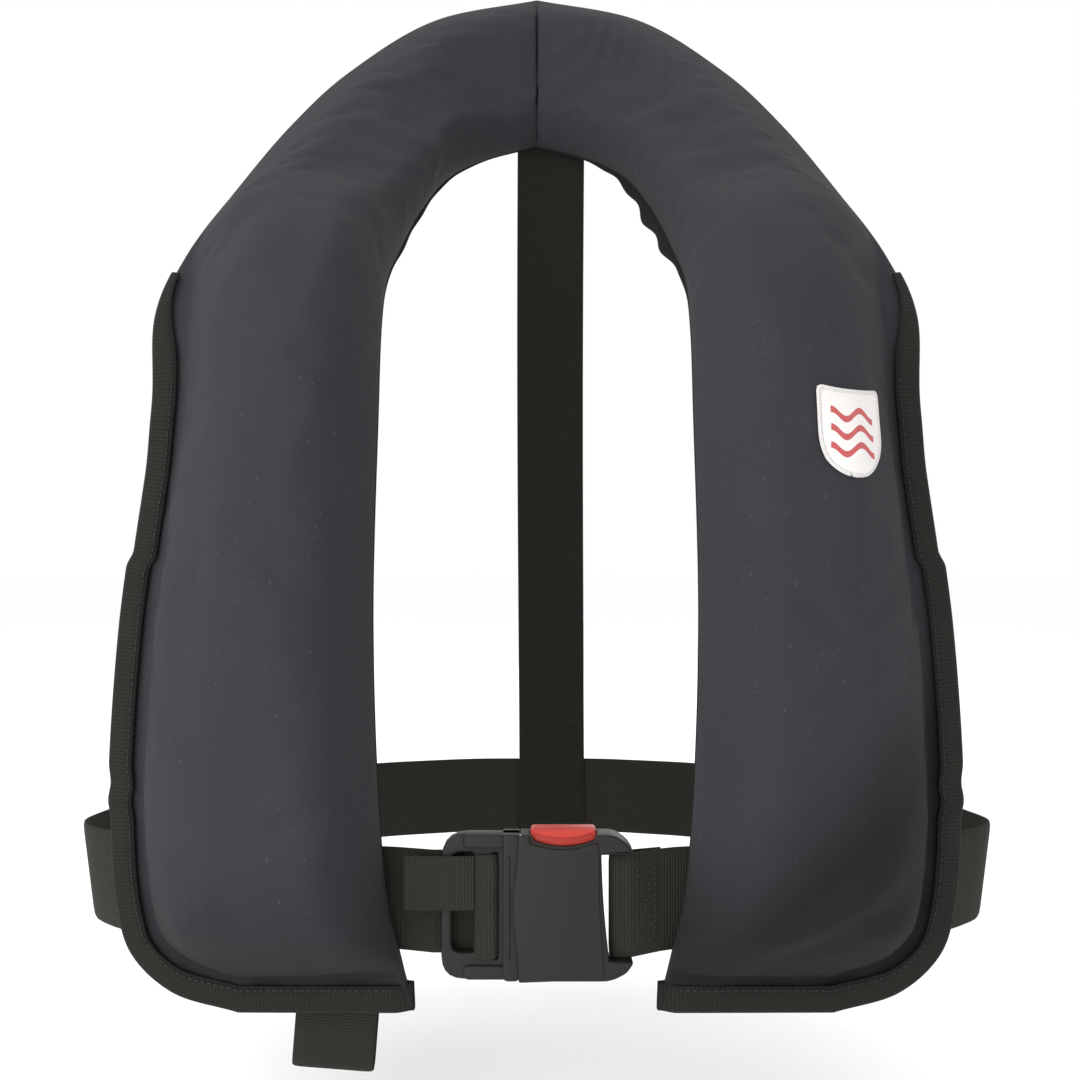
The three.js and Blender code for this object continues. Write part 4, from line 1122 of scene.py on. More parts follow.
def binding_section(width, front_b, rear_b, thick):
    """The tape's section as (in from the edge, out to the front), rounded where it folds."""
    reach = CLEARANCE + thick
    middle, half = (front_b + rear_b) / 2, (front_b - rear_b) / 2
    bend = 3 * MM
    outer = [(width, front_b), (width * 0.6, front_b), (bend - reach, front_b)]
    for t in np.linspace(0, math.pi, 9)[1:-1]:
        outer.append((bend - reach - bend * math.sin(t), middle + half * math.cos(t)))
    outer += [(bend - reach, rear_b), (width * 0.6, rear_b), (width, rear_b)]
    inner = [(width, rear_b + thick), (width * 0.6, rear_b + thick), (bend - reach, rear_b + thick)]
    for t in np.linspace(math.pi, 0, 9)[1:-1]:
        inner.append((bend - reach - (bend - thick) * math.sin(t), middle + (half - thick) * math.cos(t)))
    inner += [(bend - reach, front_b - thick), (width * 0.6, front_b - thick), (width, front_b - thick)]
    return np.array(outer + inner)


def edge_axes(line):
    """The inward and the front direction at each point of the bound edge."""
    v = np.linspace(0, SHOULDER, 400)
    plane = EdgePlane(v)
    nearest = np.array([np.argmin(((plane.outer - p) ** 2).sum(axis=1)) for p in line])
    on_hem = np.arange(len(line)) < np.argmin(((line - plane.outer[0]) ** 2).sum(axis=1))
    nearest[on_hem] = 0
    front = plane.front[nearest]
    inward = unit(np.cross(front, tangents(line)))
    inward[(inward * plane.across[nearest]).sum(axis=1) > 0.5] *= -1
    for values in (front, inward):
        for k in range(3):
            values[:, k] = np.convolve(np.pad(values[:, k], 4, mode="edge"), np.ones(9) / 9, mode="valid")
    return unit(inward), unit(front)


def make_bindings():
    s = sizes()
    thick = 1 * MM
    line = bound_edge()
    inward, front = edge_axes(line)
    front_b = TAPE_STACK + 1.6 * MM + CLEARANCE + 3 * GAP + thick
    section = binding_section(s.binding_width, front_b, -s.lining_wall - CLEARANCE - thick, thick)
    # The tape is sewn on with small steps where the cloth was eased in.
    z = line[:, 2]
    step = mix(-1.2 * MM, 1.6 * MM, smooth((-0.267 - z) / 0.009))
    step *= smooth((-0.2 - z) / 0.03) * smooth((z + 0.385) / 0.012)
    step += 1.5 * MM * np.exp(-(((z + 0.392) / 0.006) ** 2))
    line = line - inward * (step * (np.abs(line[:, 0]) > 0.18))[:, None]
    # It runs out under the lobe at its upper end and is pinched shut at the hem's inner corner.
    left = along_of(line)[-1] - along_of(line)
    taper = mix(0.35, 1.0, smooth(left / (55 * MM)))[:, None]
    deep = np.where(section[None, :, 0] > 0, section[None, :, 0] * taper, section[None, :, 0])
    pinch = mix(0.45, 1.0, smooth(along_of(line) / (9 * MM)))[:, None]
    centre = section[:, 1].mean()
    tall = centre + (section[None, :, 1] - centre) * pinch
    deep = np.where(deep < 0, deep * pinch, deep)
    rings = line[:, None] + inward[:, None] * deep[..., None] + front[:, None] * tall[..., None]
    draw = np.random.default_rng(s.seed + 5)
    marks = np.arange(0, len(line) + 8, 8)
    pucker = np.interp(np.arange(len(line)), marks, draw.normal(size=len(marks)))
    loose = np.zeros(len(section))
    loose[[0, -1]] = 1
    loose[[1, -2]] = 0.3
    rings = rings + front[:, None] * (pucker[:, None] * loose[None] * 0.28 * MM)[..., None]
    bend = np.concatenate([[0], np.cumsum(np.linalg.norm(np.diff(section, axis=0), axis=1))])
    cloth = np.stack(np.broadcast_arrays(along_of(line)[:, None], bend[None]), axis=-1)
    for side, sign in (("right", 1), ("left", -1)):
        maker = Maker()
        maker.tube(rings * (sign, 1, 1), cloth)
        piece = maker.piece(f"edge_tape_{side}", "binding")
        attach(piece, "jacket")
        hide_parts(f"edge_binding_{side}")
    thread = Maker()
    row = line + inward * (s.binding_width - 2.2 * MM) + front * (section[0][1] + 0.02 * MM)
    rear = line + inward * (s.binding_width - 2.2 * MM) + front * section[:, 1].min()
    part = slice(4, -30)
    for sign in (1, -1):
        stitches(thread, row[part] * (sign, 1, 1), front[part] * (sign, 1, 1), thread=0.36 * MM)
        stitches(thread, rear[part] * (sign, 1, 1), -front[part] * (sign, 1, 1), thread=0.36 * MM)
    sewn = thread.piece("edge_stitching", "thread")
    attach(sewn, "jacket")


def on_cover(flat):
    """Points seen from the front at (X, Z), laid on the cover."""
    cover = bpy.data.objects["jacket_cover"]
    tree = BVHTree.FromObject(cover, bpy.context.evaluated_depsgraph_get())
    made = []
    for x, z in flat:
        hit, _, _, _ = tree.ray_cast(Vector((x, -0.6, z)), Vector((0, 1, 0)))
        if hit is None:
            raise RuntimeError("the badge doesn't lie on the cover")
        made.append(hit)
    return np.array(made)


def make_badge():
    """A rounded shield of white twill with a stitched rim, lying on the right lobe."""
    middle, half_tall, half_wide = (143.5 * MM, -213.5 * MM), 19.5 * MM, 16.6 * MM
    rows, columns = 41, 33
    up = np.linspace(-1, 1, rows)
    # The shield narrows to a rounded point at its foot.
    reach = half_wide * np.where(up > 0.05, 1.0, np.sqrt(np.clip(1 - ((0.05 - up) / 1.05) ** 2.2, 0.02, 1)))
    share = np.linspace(-1, 1, columns)
    x = middle[0] + reach[:, None] * share[None] - 0.03 * half_tall * up[:, None]
    dip = np.where(up > 0, up, 0)[:, None] ** 3 * 1.8 * MM * (share[None] ** 2 - 0.3)
    z = middle[1] + np.broadcast_to(up[:, None] * half_tall, x.shape) + dip
    flat = on_cover(np.stack([x, z], axis=-1).reshape(-1, 2)).reshape(rows, columns, 3)
    ground = flat.copy()
    # Cloth as stiff as a patch bridges the small wrinkles under it.
    for _ in range(30):
        calm = ground.copy()
        y = ground[..., 1]
        calm[1:-1, 1:-1, 1] = (y[:-2, 1:-1] + y[2:, 1:-1] + y[1:-1, :-2] + y[1:-1, 2:]) / 4
        ground[..., 1] = np.minimum(calm[..., 1], flat[..., 1])
    slope_x, slope_z = np.gradient(ground, axis=1), np.gradient(ground, axis=0)
    facing = unit(np.cross(slope_x, slope_z))
    facing[facing[..., 1] > 0] *= -1
    top = ground + facing * 1.1 * MM
    cloth = np.stack([z - middle[1], x - middle[0]], axis=-1)
    maker = Maker()
    maker.sheet(top, cloth)
    body = maker.piece("woven_badge", "badge")
    if normals_of(body)[rows * columns // 2][1] > 0:
        body.data.flip_normals()
    thicken(body, 1 * MM, -1, fine=False)
    soften(body.data)
    loop = np.concatenate([top[0], top[1:, -1], top[-1, ::-1][1:], top[::-1, 0][1:]])
    loop = resampled(loop, 0.9 * MM)[:-1]
    for k in range(3):
        wide = np.concatenate([loop[-3:, k], loop[:, k], loop[:3, k]])
        loop[:, k] = np.convolve(wide, np.ones(7) / 7, mode="valid")
    ahead = unit(np.roll(loop, -1, axis=0) - np.roll(loop, 1, axis=0))
    up_at = facing.reshape(-1, 3)[[np.argmin(((top.reshape(-1, 3) - p) ** 2).sum(axis=1)) for p in loop]]
    side = unit(np.cross(ahead, up_at))
    angles = np.linspace(0, 2 * math.pi, 8, endpoint=False)
    rings = loop[:, None] + side[:, None] * (np.cos(angles) * 1.05 * MM)[None, :, None]
    rings = rings + up_at[:, None] * (np.sin(angles) * 0.6 * MM)[None, :, None]
    edge = Maker()
    run = np.broadcast_to(along_of(loop)[:, None], rings.shape[:2])
    edge.tube(rings, np.stack([run, run * 0], axis=-1))
    hoop = edge.piece("badge_rim", "rim")
    for piece in (body, hoop):
        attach(piece, "jacket")
    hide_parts("badge_patch")


# ------------------------------------------------------------------ bladder and its fittings


def make_bladder():
    """The folded air chamber: a long flat bag laid in pleats inside the cover."""
    v, along = even_places(6 * MM)
    keep = v >= 0.165
    v, along = v[keep], along[keep]
    plane = EdgePlane(v)
    margin, edge = 5 * MM, sizes().binding_width + 9 * MM
    room = (plane.width - edge - margin)[:, None]
    u = np.linspace(0, 1, 40)[None]
    a = margin + room * (0.015 + 0.97 * u)
    fold = mix(10 * MM, 22 * MM, smooth((v - 0.56) / 0.22))[:, None]
    crown = (fold - 2.5 * MM) * np.sin(math.pi * np.clip(u, 0, 1)) ** 0.5
    pleats = 0.9 * MM * np.abs(np.sin(u * math.pi * 4 + 0.6 * np.sin(along[:, None] / (60 * MM))))
    high = 1.2 * MM + np.maximum(crown - pleats, 0) * 0.96 + 1.2 * MM
    low = np.full_like(high, 1.2 * MM)
    right = np.concatenate([plane.point(a, high), plane.point(a, low)[:, ::-1]], axis=1)
    maker = Maker()
    maker.tube(both_halves(right))
    piece = maker.piece("folded_bladder", "bladder")
    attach(piece, "jacket")
    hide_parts("bladder")


INNER_FINISHES = {
    "steel": ("cap_nut", "co2_cylinder", "lever_pin", "firing_pin", "manifold_stem"),
    "housing": ("inflator_body", "cartridge_cap", "mouthpiece"),
    "button": ("inflator_lever", "valve_poppet", "whistle", "button_catch"),
    "cartridge": ("water_cartridge",),
    "rubber": ("stem_gasket_rear", "stem_gasket_front", "oral_flange", "oral_tube", "mouthpiece_cap"),
    "tape": ("hook_strip_left", "hook_strip_right", "loop_strip_left", "loop_strip_right"),
    "film": ("reflective_patch_left", "reflective_patch_right"),
    "webbing": ("whistle_pocket", "lifting_becket"),
}


def finish_fittings():
    """Gives each CAD node that stays its own finish."""
    for finish, names in INNER_FINISHES.items():
        for name in names:
            node = frame["nodes"][name]
            node.data.materials.clear()
            node.data.materials.append(finish_of(finish))


def make_springs():
    """Coil springs in place of the CAD springs, one for each part that a spring returns."""
    wire, turns, sides = 0.3 * MM, 6, 10
    for node, joint, from_top in (
        ("pin_spring", "pin_fire", True),
        ("poppet_spring", "poppet_press", False),
        ("button_spring", "button_press", False),
    ):
        low, high = (np.array(corner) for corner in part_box(node))
        centre, radius, tall = (low + high) / 2, (high[0] - low[0]) / 2 - wire, high[2] - low[2]
        t = np.linspace(0, 1, 24 * turns)
        angle = 2 * math.pi * turns * t
        spoke = np.stack([np.cos(angle), np.sin(angle), 0 * angle], axis=1)
        line = centre + spoke * radius
        line[:, 2] = low[2] + wire + (tall - 2 * wire) * t
        side = unit(np.cross(tangents(line), spoke))
        ring = np.linspace(0, 2 * math.pi, sides + 1)[:-1]
        rings = line[:, None] + wire * (
            np.cos(ring)[None, :, None] * spoke[:, None] + np.sin(ring)[None, :, None] * side[:, None]
        )
        maker = Maker()
        maker.tube(rings)
        piece = maker.piece(f"{node}_coil", "steel")
        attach(piece, "jacket")
        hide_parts(node)
        (tall - TRAVEL[joint]) / tall
        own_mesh(piece)


# ------------------------------------------------------------------ belt and straps

BELT_LOW, BELT_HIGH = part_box("waist_belt")
BELT_Z = (BELT_LOW[2] + BELT_HIGH[2]) / 2
CHEST = -225 * MM  # Y of the belt's front face at the buckle
TAIL_WIDTH, TAIL_RISE = 26 * MM, 11.5 * MM  # the folded free end, and its middle over the belt's
GUIDE_SHARE = 0.58  # where the guides hold the belt, as a share of the lobe's width


def flat_line(points):
    """Points given as (X, Y) in millimetres, at the belt's height."""
    return [np.array([x * MM, y * MM, BELT_Z]) for x, y in points]


def behind_lobe(share, extra=0.0):
    """(X, Y) in millimetres of the belt's middle behind the right lobe, at a share of its width."""
    v = np.linspace(0, 0.6, 600)
    inner = edge_at(graded(INNER), v)
    at = v[np.argmin(np.abs(inner[:, 2] - (BELT_Z - sizes().belt_width / 2)))]
    plane = EdgePlane([at])
    away = -(sizes().lining_wall + CLEARANCE + 1 * MM + 2 * GAP + sizes().webbing_thickness / 2)
    p = plane.point(np.array([[share * plane.width[0] + extra]]), np.array([[away]]))[0, 0]
    return p[0] / MM, p[1] / MM


def mirrored_points(points):
    return [(-x, y) for x, y in reversed(points)]


def make_waist_belt():
    s = sizes()
    bar_y, wrap = -227.5, 3.5  # the buckle's bar, and how far the belt's middle passes it
    sewn = [
        (61, -218.6), (45.5, bar_y + wrap), (37.3, bar_y + wrap), (36, bar_y + 1.8), (36, bar_y - 1.8),
        (37.3, bar_y - wrap), (45.5, bar_y - wrap), (60.5, -222),
    ]
    lobe = [behind_lobe(0, 4 * MM), behind_lobe(1, 6 * MM)]
    back = [(244, -165), (233, -115.1), (207.4, -63.2), (161, -19.1), (102.5, 11.6), (42.9, 27)]
    guide = behind_lobe(GUIDE_SHARE)
    points = sewn + lobe + back + mirrored_points(back) + [(-lobe[1][0], lobe[1][1]), (-guide[0], guide[1])]
    # Near the bar the turns stay tight.
    tight = rounded(flat_line(sewn + lobe[:1]), 1.3 * MM, 1 * MM)
    far = rounded(flat_line([sewn[-1]] + points[len(sewn):]), 18 * MM)
    line = resampled(np.concatenate([tight[: joint_of(tight, far)], far]), 1.6 * MM)
    # At each side the belt folds back on a slant: its top edge stands further out than its lower edge.
    lean = np.exp(-(((np.abs(line[:, 0]) - 244 * MM) / (26 * MM)) ** 2))
    lean *= np.exp(-(((line[:, 1] + 165 * MM) / (55 * MM)) ** 2))
    across = np.stack([np.sign(line[:, 0]) * lean * 0.13, 0 * lean, np.ones(len(line))], axis=1)
    ripple = waves(line, s.seed + 9, 90 * MM) * 0.7 * MM * smooth((np.abs(line[:, 0]) - 0.215) / 0.03)
    side = unit(np.cross(tangents(line), (0, 0, 1.0)))
    line = line + side * ripple[:, None]
    maker = Maker()
    webbing(maker, line, across, s.belt_width, s.webbing_thickness)
    belt = maker.piece("waist_belt_webbing", "webbing")
    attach(belt, "jacket")
    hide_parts("waist_belt")
    # The box stitch that closes the loop round the bar.
    thread = Maker()
    facing = unit(np.array([-9.0, -15.0, 0.0]))

    def corner(x, rise):
        y = mix(bar_y - wrap, -222.0, np.clip((x - 45.5) / 15, 0, 1)) - 0.95
        return x * MM, y * MM, BELT_Z + rise * MM

    near, far_x, tall = 49, 58, 18
    for start, end in (
        ((near, tall), (near, -tall)), ((far_x, tall), (far_x, -tall)), ((near, tall), (far_x, tall)),
        ((near, -tall), (far_x, -tall)), ((near, tall), (far_x, -tall)), ((near, -tall), (far_x, tall)),
        ((near, 0), (far_x, 0)),
    ):
        seam = resampled(np.array([corner(*start), corner(*end)]), 1 * MM)
        stitches(thread, seam, facing, 2.6 * MM, 0.34 * MM)
    sewn_box = thread.piece("belt_box_stitch", "thread")
    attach(sewn_box, "jacket")


def joint_of(tight, far):
    """How much of the first line comes before the second one starts."""
    return int(np.argmin(((tight - far[0]) ** 2).sum(axis=1)))


def make_adjustable_end():
    """The free end of the belt: behind the left lobe, through the buckle's frame and back as a tail."""
    s = sizes()
    guide, inner = behind_lobe(GUIDE_SHARE), behind_lobe(0, 4 * MM)
    half_thick = s.webbing_thickness / MM / 2
    belt_y = CHEST / MM + half_thick
    face = CHEST / MM + MALE_FRONT - 0.4 - half_thick
    tail_from, tail_to = -29.3, -63
    points = [
        (GAP / MM - guide[0], guide[1]), (-inner[0], inner[1]), (-60, -221), (-50, belt_y), (-20.2, belt_y),
        (-19, belt_y - 1.3), (-19, face + 1.3), (-20.2, face), (-29, face),
    ]
    line = rounded(flat_line(points), 1.25 * MM, 1 * MM)
    maker = Maker()
    webbing(maker, line, (0, 0, 1), s.belt_width, s.webbing_thickness)
    run = maker.piece("belt_running_end", "webbing")
    tail_points = [(tail_from, face), (-38, face - 0.7), (-50, face - 0.9), (tail_to, face + 0.1)]
    tail_line = rounded(flat_line(tail_points), 3 * MM, 1 * MM) + (0, 0, TAIL_RISE)
    tail = Maker()
    webbing(tail, tail_line, (0, 0, 1), TAIL_WIDTH, s.webbing_thickness)
    end = tail.piece("belt_tail_end", "webbing")
    for piece, node in ((run, "belt_adjust_end"), (end, "belt_tail")):
        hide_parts(node)
    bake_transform(run)
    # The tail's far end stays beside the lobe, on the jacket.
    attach(end, "jacket")
    reach = (tail_from - tail_to) * MM
    keep = (reach - TRAVEL["buckle_release"]) / reach
    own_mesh(end)


def hung_line(points, x):
    """Points given as (Y, Z) in metres, at one X."""
    return [np.array([x, y, z]) for y, z in points]


def make_back_strap():
    s = sizes()
    wide, shift = 44.5 * MM, 9.5 * MM
    thick = s.webbing_thickness
    collar = EdgePlane([1.0])
    off = -(s.lining_wall + GAP + thick / 2)

    def on_collar(a):
        return tuple(collar.inner[0] + collar.across[0] * a + collar.front[0] * off)[1:]

    back = CHEST + 252 * MM - thick / 2
    turn, after = back - GAP - thick / 2, back + 1.5 * thick + GAP
    under = BELT_Z - s.belt_width / 2 - 5 * GAP - thick / 2
    top = on_collar(-6 * MM)
    belt_top = BELT_Z + s.belt_width / 2
    points = [
        on_collar(34 * MM), on_collar(2 * MM), (top[0] + 0.6 * MM, top[1]), (turn, BELT_Z + s.belt_width),
        (turn, under + 0.8 * MM), ((turn + after) / 2, under), (after, under + 0.8 * MM),
        (after, belt_top + 6 * MM), (turn + thick + 2 * GAP, belt_top + 14 * MM),
        (turn + thick + GAP, BELT_Z + s.belt_width + 8 * MM),
    ]
    line = rounded(hung_line(points, shift), 3 * MM, 1.6 * MM)
    # The strap wavers a little sideways, as webbing under no load does.
    line[:, 0] += np.sin((line[:, 2] - 0.03) * 9.0) * 0.7 * MM
    maker = Maker()
    webbing(maker, line, (1, 0, 0), wide, thick)
    strap = maker.piece("back_strap_webbing", "strap")
    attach(strap, "jacket")
    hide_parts("back_strap")
    thread = Maker()
    face = np.array([0, -1.0, 0])
    for z in (BELT_Z + s.belt_width / 2 + 16 * MM, BELT_Z + s.belt_width / 2 + 26 * MM):
        seam_y = turn - thick / 2
        ends = np.array([[shift - wide * 0.44, seam_y, z], [shift + wide * 0.44, seam_y, z]])
        stitches(thread, resampled(ends, 1 * MM), face, 2.8 * MM, 0.34 * MM)
    rear = collar.inner[0] + collar.front[0] * (off - thick / 2)
    for a in (8 * MM, 28 * MM):
        middle = rear + collar.across[0] * a
        ends = np.array([middle + (shift - wide * 0.44, 0, 0), middle + (shift + wide * 0.44, 0, 0)])
        stitches(thread, resampled(ends, 1 * MM), -collar.front[0], 2.8 * MM, 0.34 * MM)
    sewn = thread.piece("back_strap_stitching", "thread")
    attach(sewn, "jacket")


def make_crotch_loop():
    s = sizes()
    thick = s.webbing_thickness
    tilt = math.radians(4.5)
    hem = EdgePlane([0])
    a = 0.46 * hem.width[0]
    hem_point = hem.point(np.array([[a]]), np.array([[0.0]]))[0, 0]
    behind = EdgePlane([0.04]).point(np.array([[a]]), np.array([[0.0]]))[0, 0][1]
    rest = 1.4 * MM + CLEARANCE + 1 * MM + GAP + thick / 2 + 2.8 * MM
    front, rear = behind + rest, behind + rest + 7.5 * MM + thick
    low = -36 * MM + thick / 2
    points = [
        (front, 24.5 * MM), (front, low + 4 * MM),
        (front + 1.4 * MM, low + 1.2 * MM), ((front + rear) / 2, low),
        (rear - 1.4 * MM, low + 1.2 * MM), (rear, low + 4 * MM), (rear, -6 * MM),
        (front + thick + 2 * GAP, 12 * MM), (front + thick + GAP, 22.5 * MM),
    ]
    line = rounded(hung_line(points, 0.0), 2 * MM, 1.2 * MM)
    turned = line.copy()
    turned[:, 0] = line[:, 0] * math.cos(tilt) + line[:, 2] * math.sin(tilt)
    turned[:, 2] = line[:, 2] * math.cos(tilt) - line[:, 0] * math.sin(tilt)
    turned += np.array([-hem_point[0], 0, hem_point[2]])
    maker = Maker()
    webbing(maker, turned, (math.cos(tilt), 0, -math.sin(tilt)), 40.5 * MM, thick)
    loop = maker.piece("crotch_loop_webbing", "webbing")
    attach(loop, "jacket")
    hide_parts("crotch_strap_loop")


def make_belt_guides():
    s = sizes()
    thick = s.webbing_thickness
    guide = behind_lobe(GUIDE_SHARE)
    over, sewn = s.belt_width / 2 + 3 * MM, 11.5 * MM
    v = np.linspace(0, 0.6, 900)
    mid = mix(edge_at(graded(INNER), v), edge_at(graded(OUTER), v), GUIDE_SHARE)
    at_inner = v[np.argmin(np.abs(edge_at(graded(INNER), v)[:, 2] - (BELT_Z - s.belt_width / 2)))]
    turn = EdgePlane([at_inner]).across[0]
    angle = math.atan2(turn[1], turn[0])
    middle = guide[1] * MM

    def rest(z):
        plane = EdgePlane([v[np.argmin(np.abs(mid[:, 2] - (BELT_Z + z)))]])
        width = plane.width[0]
        under = -s.lining_wall - 2 * GAP - thick / 2
        p = plane.point(np.array([[GUIDE_SHARE * width]]), np.array([[under]]))[0, 0]
        return p[1] - middle, z

    away = thick + GAP
    low, lowest = rest(-over - 3 * MM), rest(-over - sewn)
    points = [
        rest(over + sewn), rest(over + 2 * MM), (away, over - 2 * MM), (away, -over + 1 * MM),
        (low[0] + 4 * GAP, low[1]), (lowest[0] + 4 * GAP, lowest[1]),
    ]
    line = rounded(hung_line(points, 0.0), 3 * MM, 1.5 * MM)
    cos, sin = math.cos(angle), math.sin(angle)
    placed = np.stack([
        line[:, 0] * cos - line[:, 1] * sin + guide[0] * MM,
        line[:, 0] * sin + line[:, 1] * cos + middle,
        line[:, 2] + BELT_Z,
    ], axis=1)
    for side, sign in (("right", 1), ("left", -1)):
        maker = Maker()
        webbing(maker, placed * (sign, 1, 1), (sign * cos, sin, 0), 42 * MM, thick)
        piece = maker.piece(f"belt_keeper_{side}", "webbing")
        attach(piece, "jacket")
        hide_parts(f"belt_guide_{side}")


# ------------------------------------------------------------------ buckle

BUCKLE_X = 1.7
HALF_HIGH = 35
WEB_HALF = 25.8  # half the height of the slots that the belt passes through
MALE_FRONT = -7.9  # the male half's face, in front of the belt's
CUT_EDGE = 0.01  # the bevel of what is cut out


def buckle_points(points):
    """(x, z) in millimetres from the buckle's own middle, in metres in the frame."""
    return [((x + BUCKLE_X) * MM, z * MM + BELT_Z) for x, z in points]


def buckle_y(y):
    return CHEST + y * MM


def buckle_plate(name, outline, holes, front, back, bevel, finish="buckle"):
    return plate(
        name, buckle_points(outline), [buckle_points(h) for h in holes], buckle_y(front), buckle_y(back),
        bevel * MM, finish,
    )


def make_male_half():
    h = HALF_HIGH
    outline = rim(
        [(-9.6, -h), (-9.6, h), (-47.0, h), (-47.2, 0), (-47.0, -h)],
        [0, 0, 13, 2, 11],
    )
    first = rim([(-42.3, -22.4), (-42.3, 25.7), (-31.4, 25.7), (-31.4, -22.4)], [5, 5, 1.2, 1.2])
    second = rim([(-22.0, -25.5), (-22.0, 25.5), (-20.0, 25.5), (-20.0, -25.5)], 0.8)
    body = buckle_plate("buckle_male_half", outline, [first, second], MALE_FRONT, -0.3, 1.2)
    cheek = rim([(-17.4, -h), (-17.4, h), (-9.5, h), (-9.5, -h)], [2.5, 0, 0, 2.5])
    shoulder = buckle_plate("shoulder", cheek, [], -11.4, 2.4, 0.9)
    ridge = rim([(-15.9, -25), (-15.9, 25), (-13.9, 25), (-13.9, -25)], 0.9)
    bead = buckle_plate("bead", ridge, [], -12.1, -10.6, 0.65)
    rails = []
    for sign in (1, -1):
        z0, z1 = sign * (WEB_HALF + 2.2), sign * (h - 0.2)
        bar = rim([(-36.5, z0), (-36.5, z1), (-12, z1), (-12, z0)], [3, 3, 0, 0])
        rails.append(buckle_plate("rail", bar, [], -9.9, -0.9, 1.2))
    # The catch drops into the notch in the tongue's upper edge.
    tongue = rim(
        [(-12, -15), (-12, 15), (-1.4, 15), (-1.4, 11.5), (7.2, 11.5), (7.2, 15),
         (10, 12.4), (10, -12.4), (7, -15)],
        0.8,
    )
    blade = buckle_plate("tongue", tongue, [], -6.95, -2.05, 0.5)
    piece = joined([body, shoulder, bead, *rails, blade], "buckle_male_half")
    by_angle(piece)
    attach(piece, "male_half")
    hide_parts("buckle_male")


def make_female_half():
    h = HALF_HIGH
    mouth = [(-9.0, -h), (-9.0, h)]
    # The shell's arms reach round the bar, and the gap beside the belt's loop stays open.
    outline = rim(
        mouth + [(36, h), (42.4, 30.5), (45.2, WEB_HALF), (29.6, WEB_HALF - 0.5), (30.2, 8), (31.4, -8),
                 (33.4, 0.5 - WEB_HALF), (45.2, -WEB_HALF), (42.0, -31), (34, -h)],
        [0, 0, 5, 4, 1.5, 0.4, 8, 8, 0.4, 1.5, 4, 6],
    )
    shell = buckle_plate("buckle_female_half", outline, [], -12, 3, 1.3)
    window = rim(
        [(-4.2, h + 4), (-3.4, h - 2.6), (4, h - 4.8), (11.5, h - 5.6), (19, h - 4.8), (26.4, h - 2.6),
         (27.2, h + 4)],
        [0.3, 1.5, 8, 8, 8, 1.5, 0.3],
    )
    pocket = rim([(-4.8, 16.7), (-4.8, h + 4), (27.8, h + 4), (27.8, 16.7)], 0.2)
    cavity = rim([(-14, -15.3), (-14, 15.3), (11.2, 15.3), (11.2, -15.3)], 0.2)
    way = rim([(-0.4, 10), (-0.4, 18), (6.2, 18), (6.2, 10)], 0.1)
    # The button shows in the window and slides in the pocket, the tongue fills the cavity, and the
    # catch drops through its way.
    for name, room, front, back in (
        ("opening", window, -16, -7.9), ("pocket", pocket, -9.3, -0.7),
        ("cavity", cavity, -7.3, -1.7), ("way", way, -8.3, -1.7),
    ):
        cut_out(shell, buckle_plate(name, room, [], front, back, CUT_EDGE))
    rod = rim([(35.7, -28), (35.7, 28), (39.8, 28), (39.8, -28)], 0)
    bar = buckle_plate("bar", rod, [], -4.5, -0.5, 0.8)
    # A shallow step frames the face, and its left side bows towards the mouth.
    face = rim(
        [(-9.9, -h), (-10.3, -22), (-12.4, -6), (-12.6, 6), (-10.6, 20), (-9.9, h), (-5.2, h), (-4.4, 31.0),
         (4, 28.8), (11.5, 28.0), (19, 28.8), (27.6, 31.4), (28.6, 25), (28.4, 8), (29.2, -8), (31.0, -33.6)],
        [1.2, 10, 10, 10, 8, 1.2, 1, 1, 6, 6, 6, 1, 3, 8, 8, 4],
    )
    raised = buckle_plate("raised", face, [], -13.0, -11.75, 0.55)
    piece = joined([shell, bar, raised], "buckle_female_half")
    by_angle(piece)
    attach(piece, "jacket")
    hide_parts("buckle_female_front", "buckle_female_back")


def make_button():
    h = HALF_HIGH
    body = rim([(-4.3, 20.2), (-4.3, h + 2.9), (27.3, h + 2.9), (27.3, 20.2)], [1, 2.4, 2.4, 1])
    block = buckle_plate("release_button", body, [], -9.1, -1, 0.8, "button")
    # The raised lip stays its own travel above the window's lower edge.
    pad = rim(
        [(-3.7, h + 2.5), (-3.1, h + 0.9), (4.2, h - 1.1), (11.5, h - 1.9), (18.8, h - 1.1), (26.1, h + 0.9),
         (26.7, h + 2.5)],
        [1.2, 0.6, 7, 7, 7, 0.6, 1.2],
    )
    face = buckle_plate("pad", pad, [], -11.7, -8.4, 0.9, "button")
    piece = joined([block, face], "release_button_cap")
    by_angle(piece)
    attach(piece, "release_button")
    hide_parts("buckle_button")


# ------------------------------------------------------------------ stage


CAMERA_PLACE, FOCAL_LENGTH, FILM = (0.002, -0.825, -0.262), 41.2, 36
FLOOR_DROP = 30 * MM  # the floor lies this far under the jacket
# name, place, aim, size, power
LIGHTS = (
    ("key", (-1.4, -1.3, 0.9), (0, -0.15, -0.25), 1.1, 12),
    ("fill", (-0.5, -1.15, -0.3), (-0.15, -0.2, -0.3), 0.8, 5),
    ("top", (0, 0.2, 1.6), (0, -0.1, -0.2), 1.5, 6),
    ("rear", (0.4, 1.8, 0.5), (0, 0, -0.25), 1.6, 8),
)


def make_camera():
    lens = bpy.data.cameras.new("camera")
    lens.lens, lens.sensor_width, lens.sensor_height, lens.sensor_fit = FOCAL_LENGTH, FILM, FILM, "HORIZONTAL"
    lens.clip_start, lens.clip_end = 0.01, 50
    camera = bpy.data.objects.new("camera", lens)
    camera.location = CAMERA_PLACE
    camera.rotation_euler = (math.pi / 2, 0, 0)
    bpy.context.scene.collection.objects.link(camera)
    bpy.context.scene.camera = camera


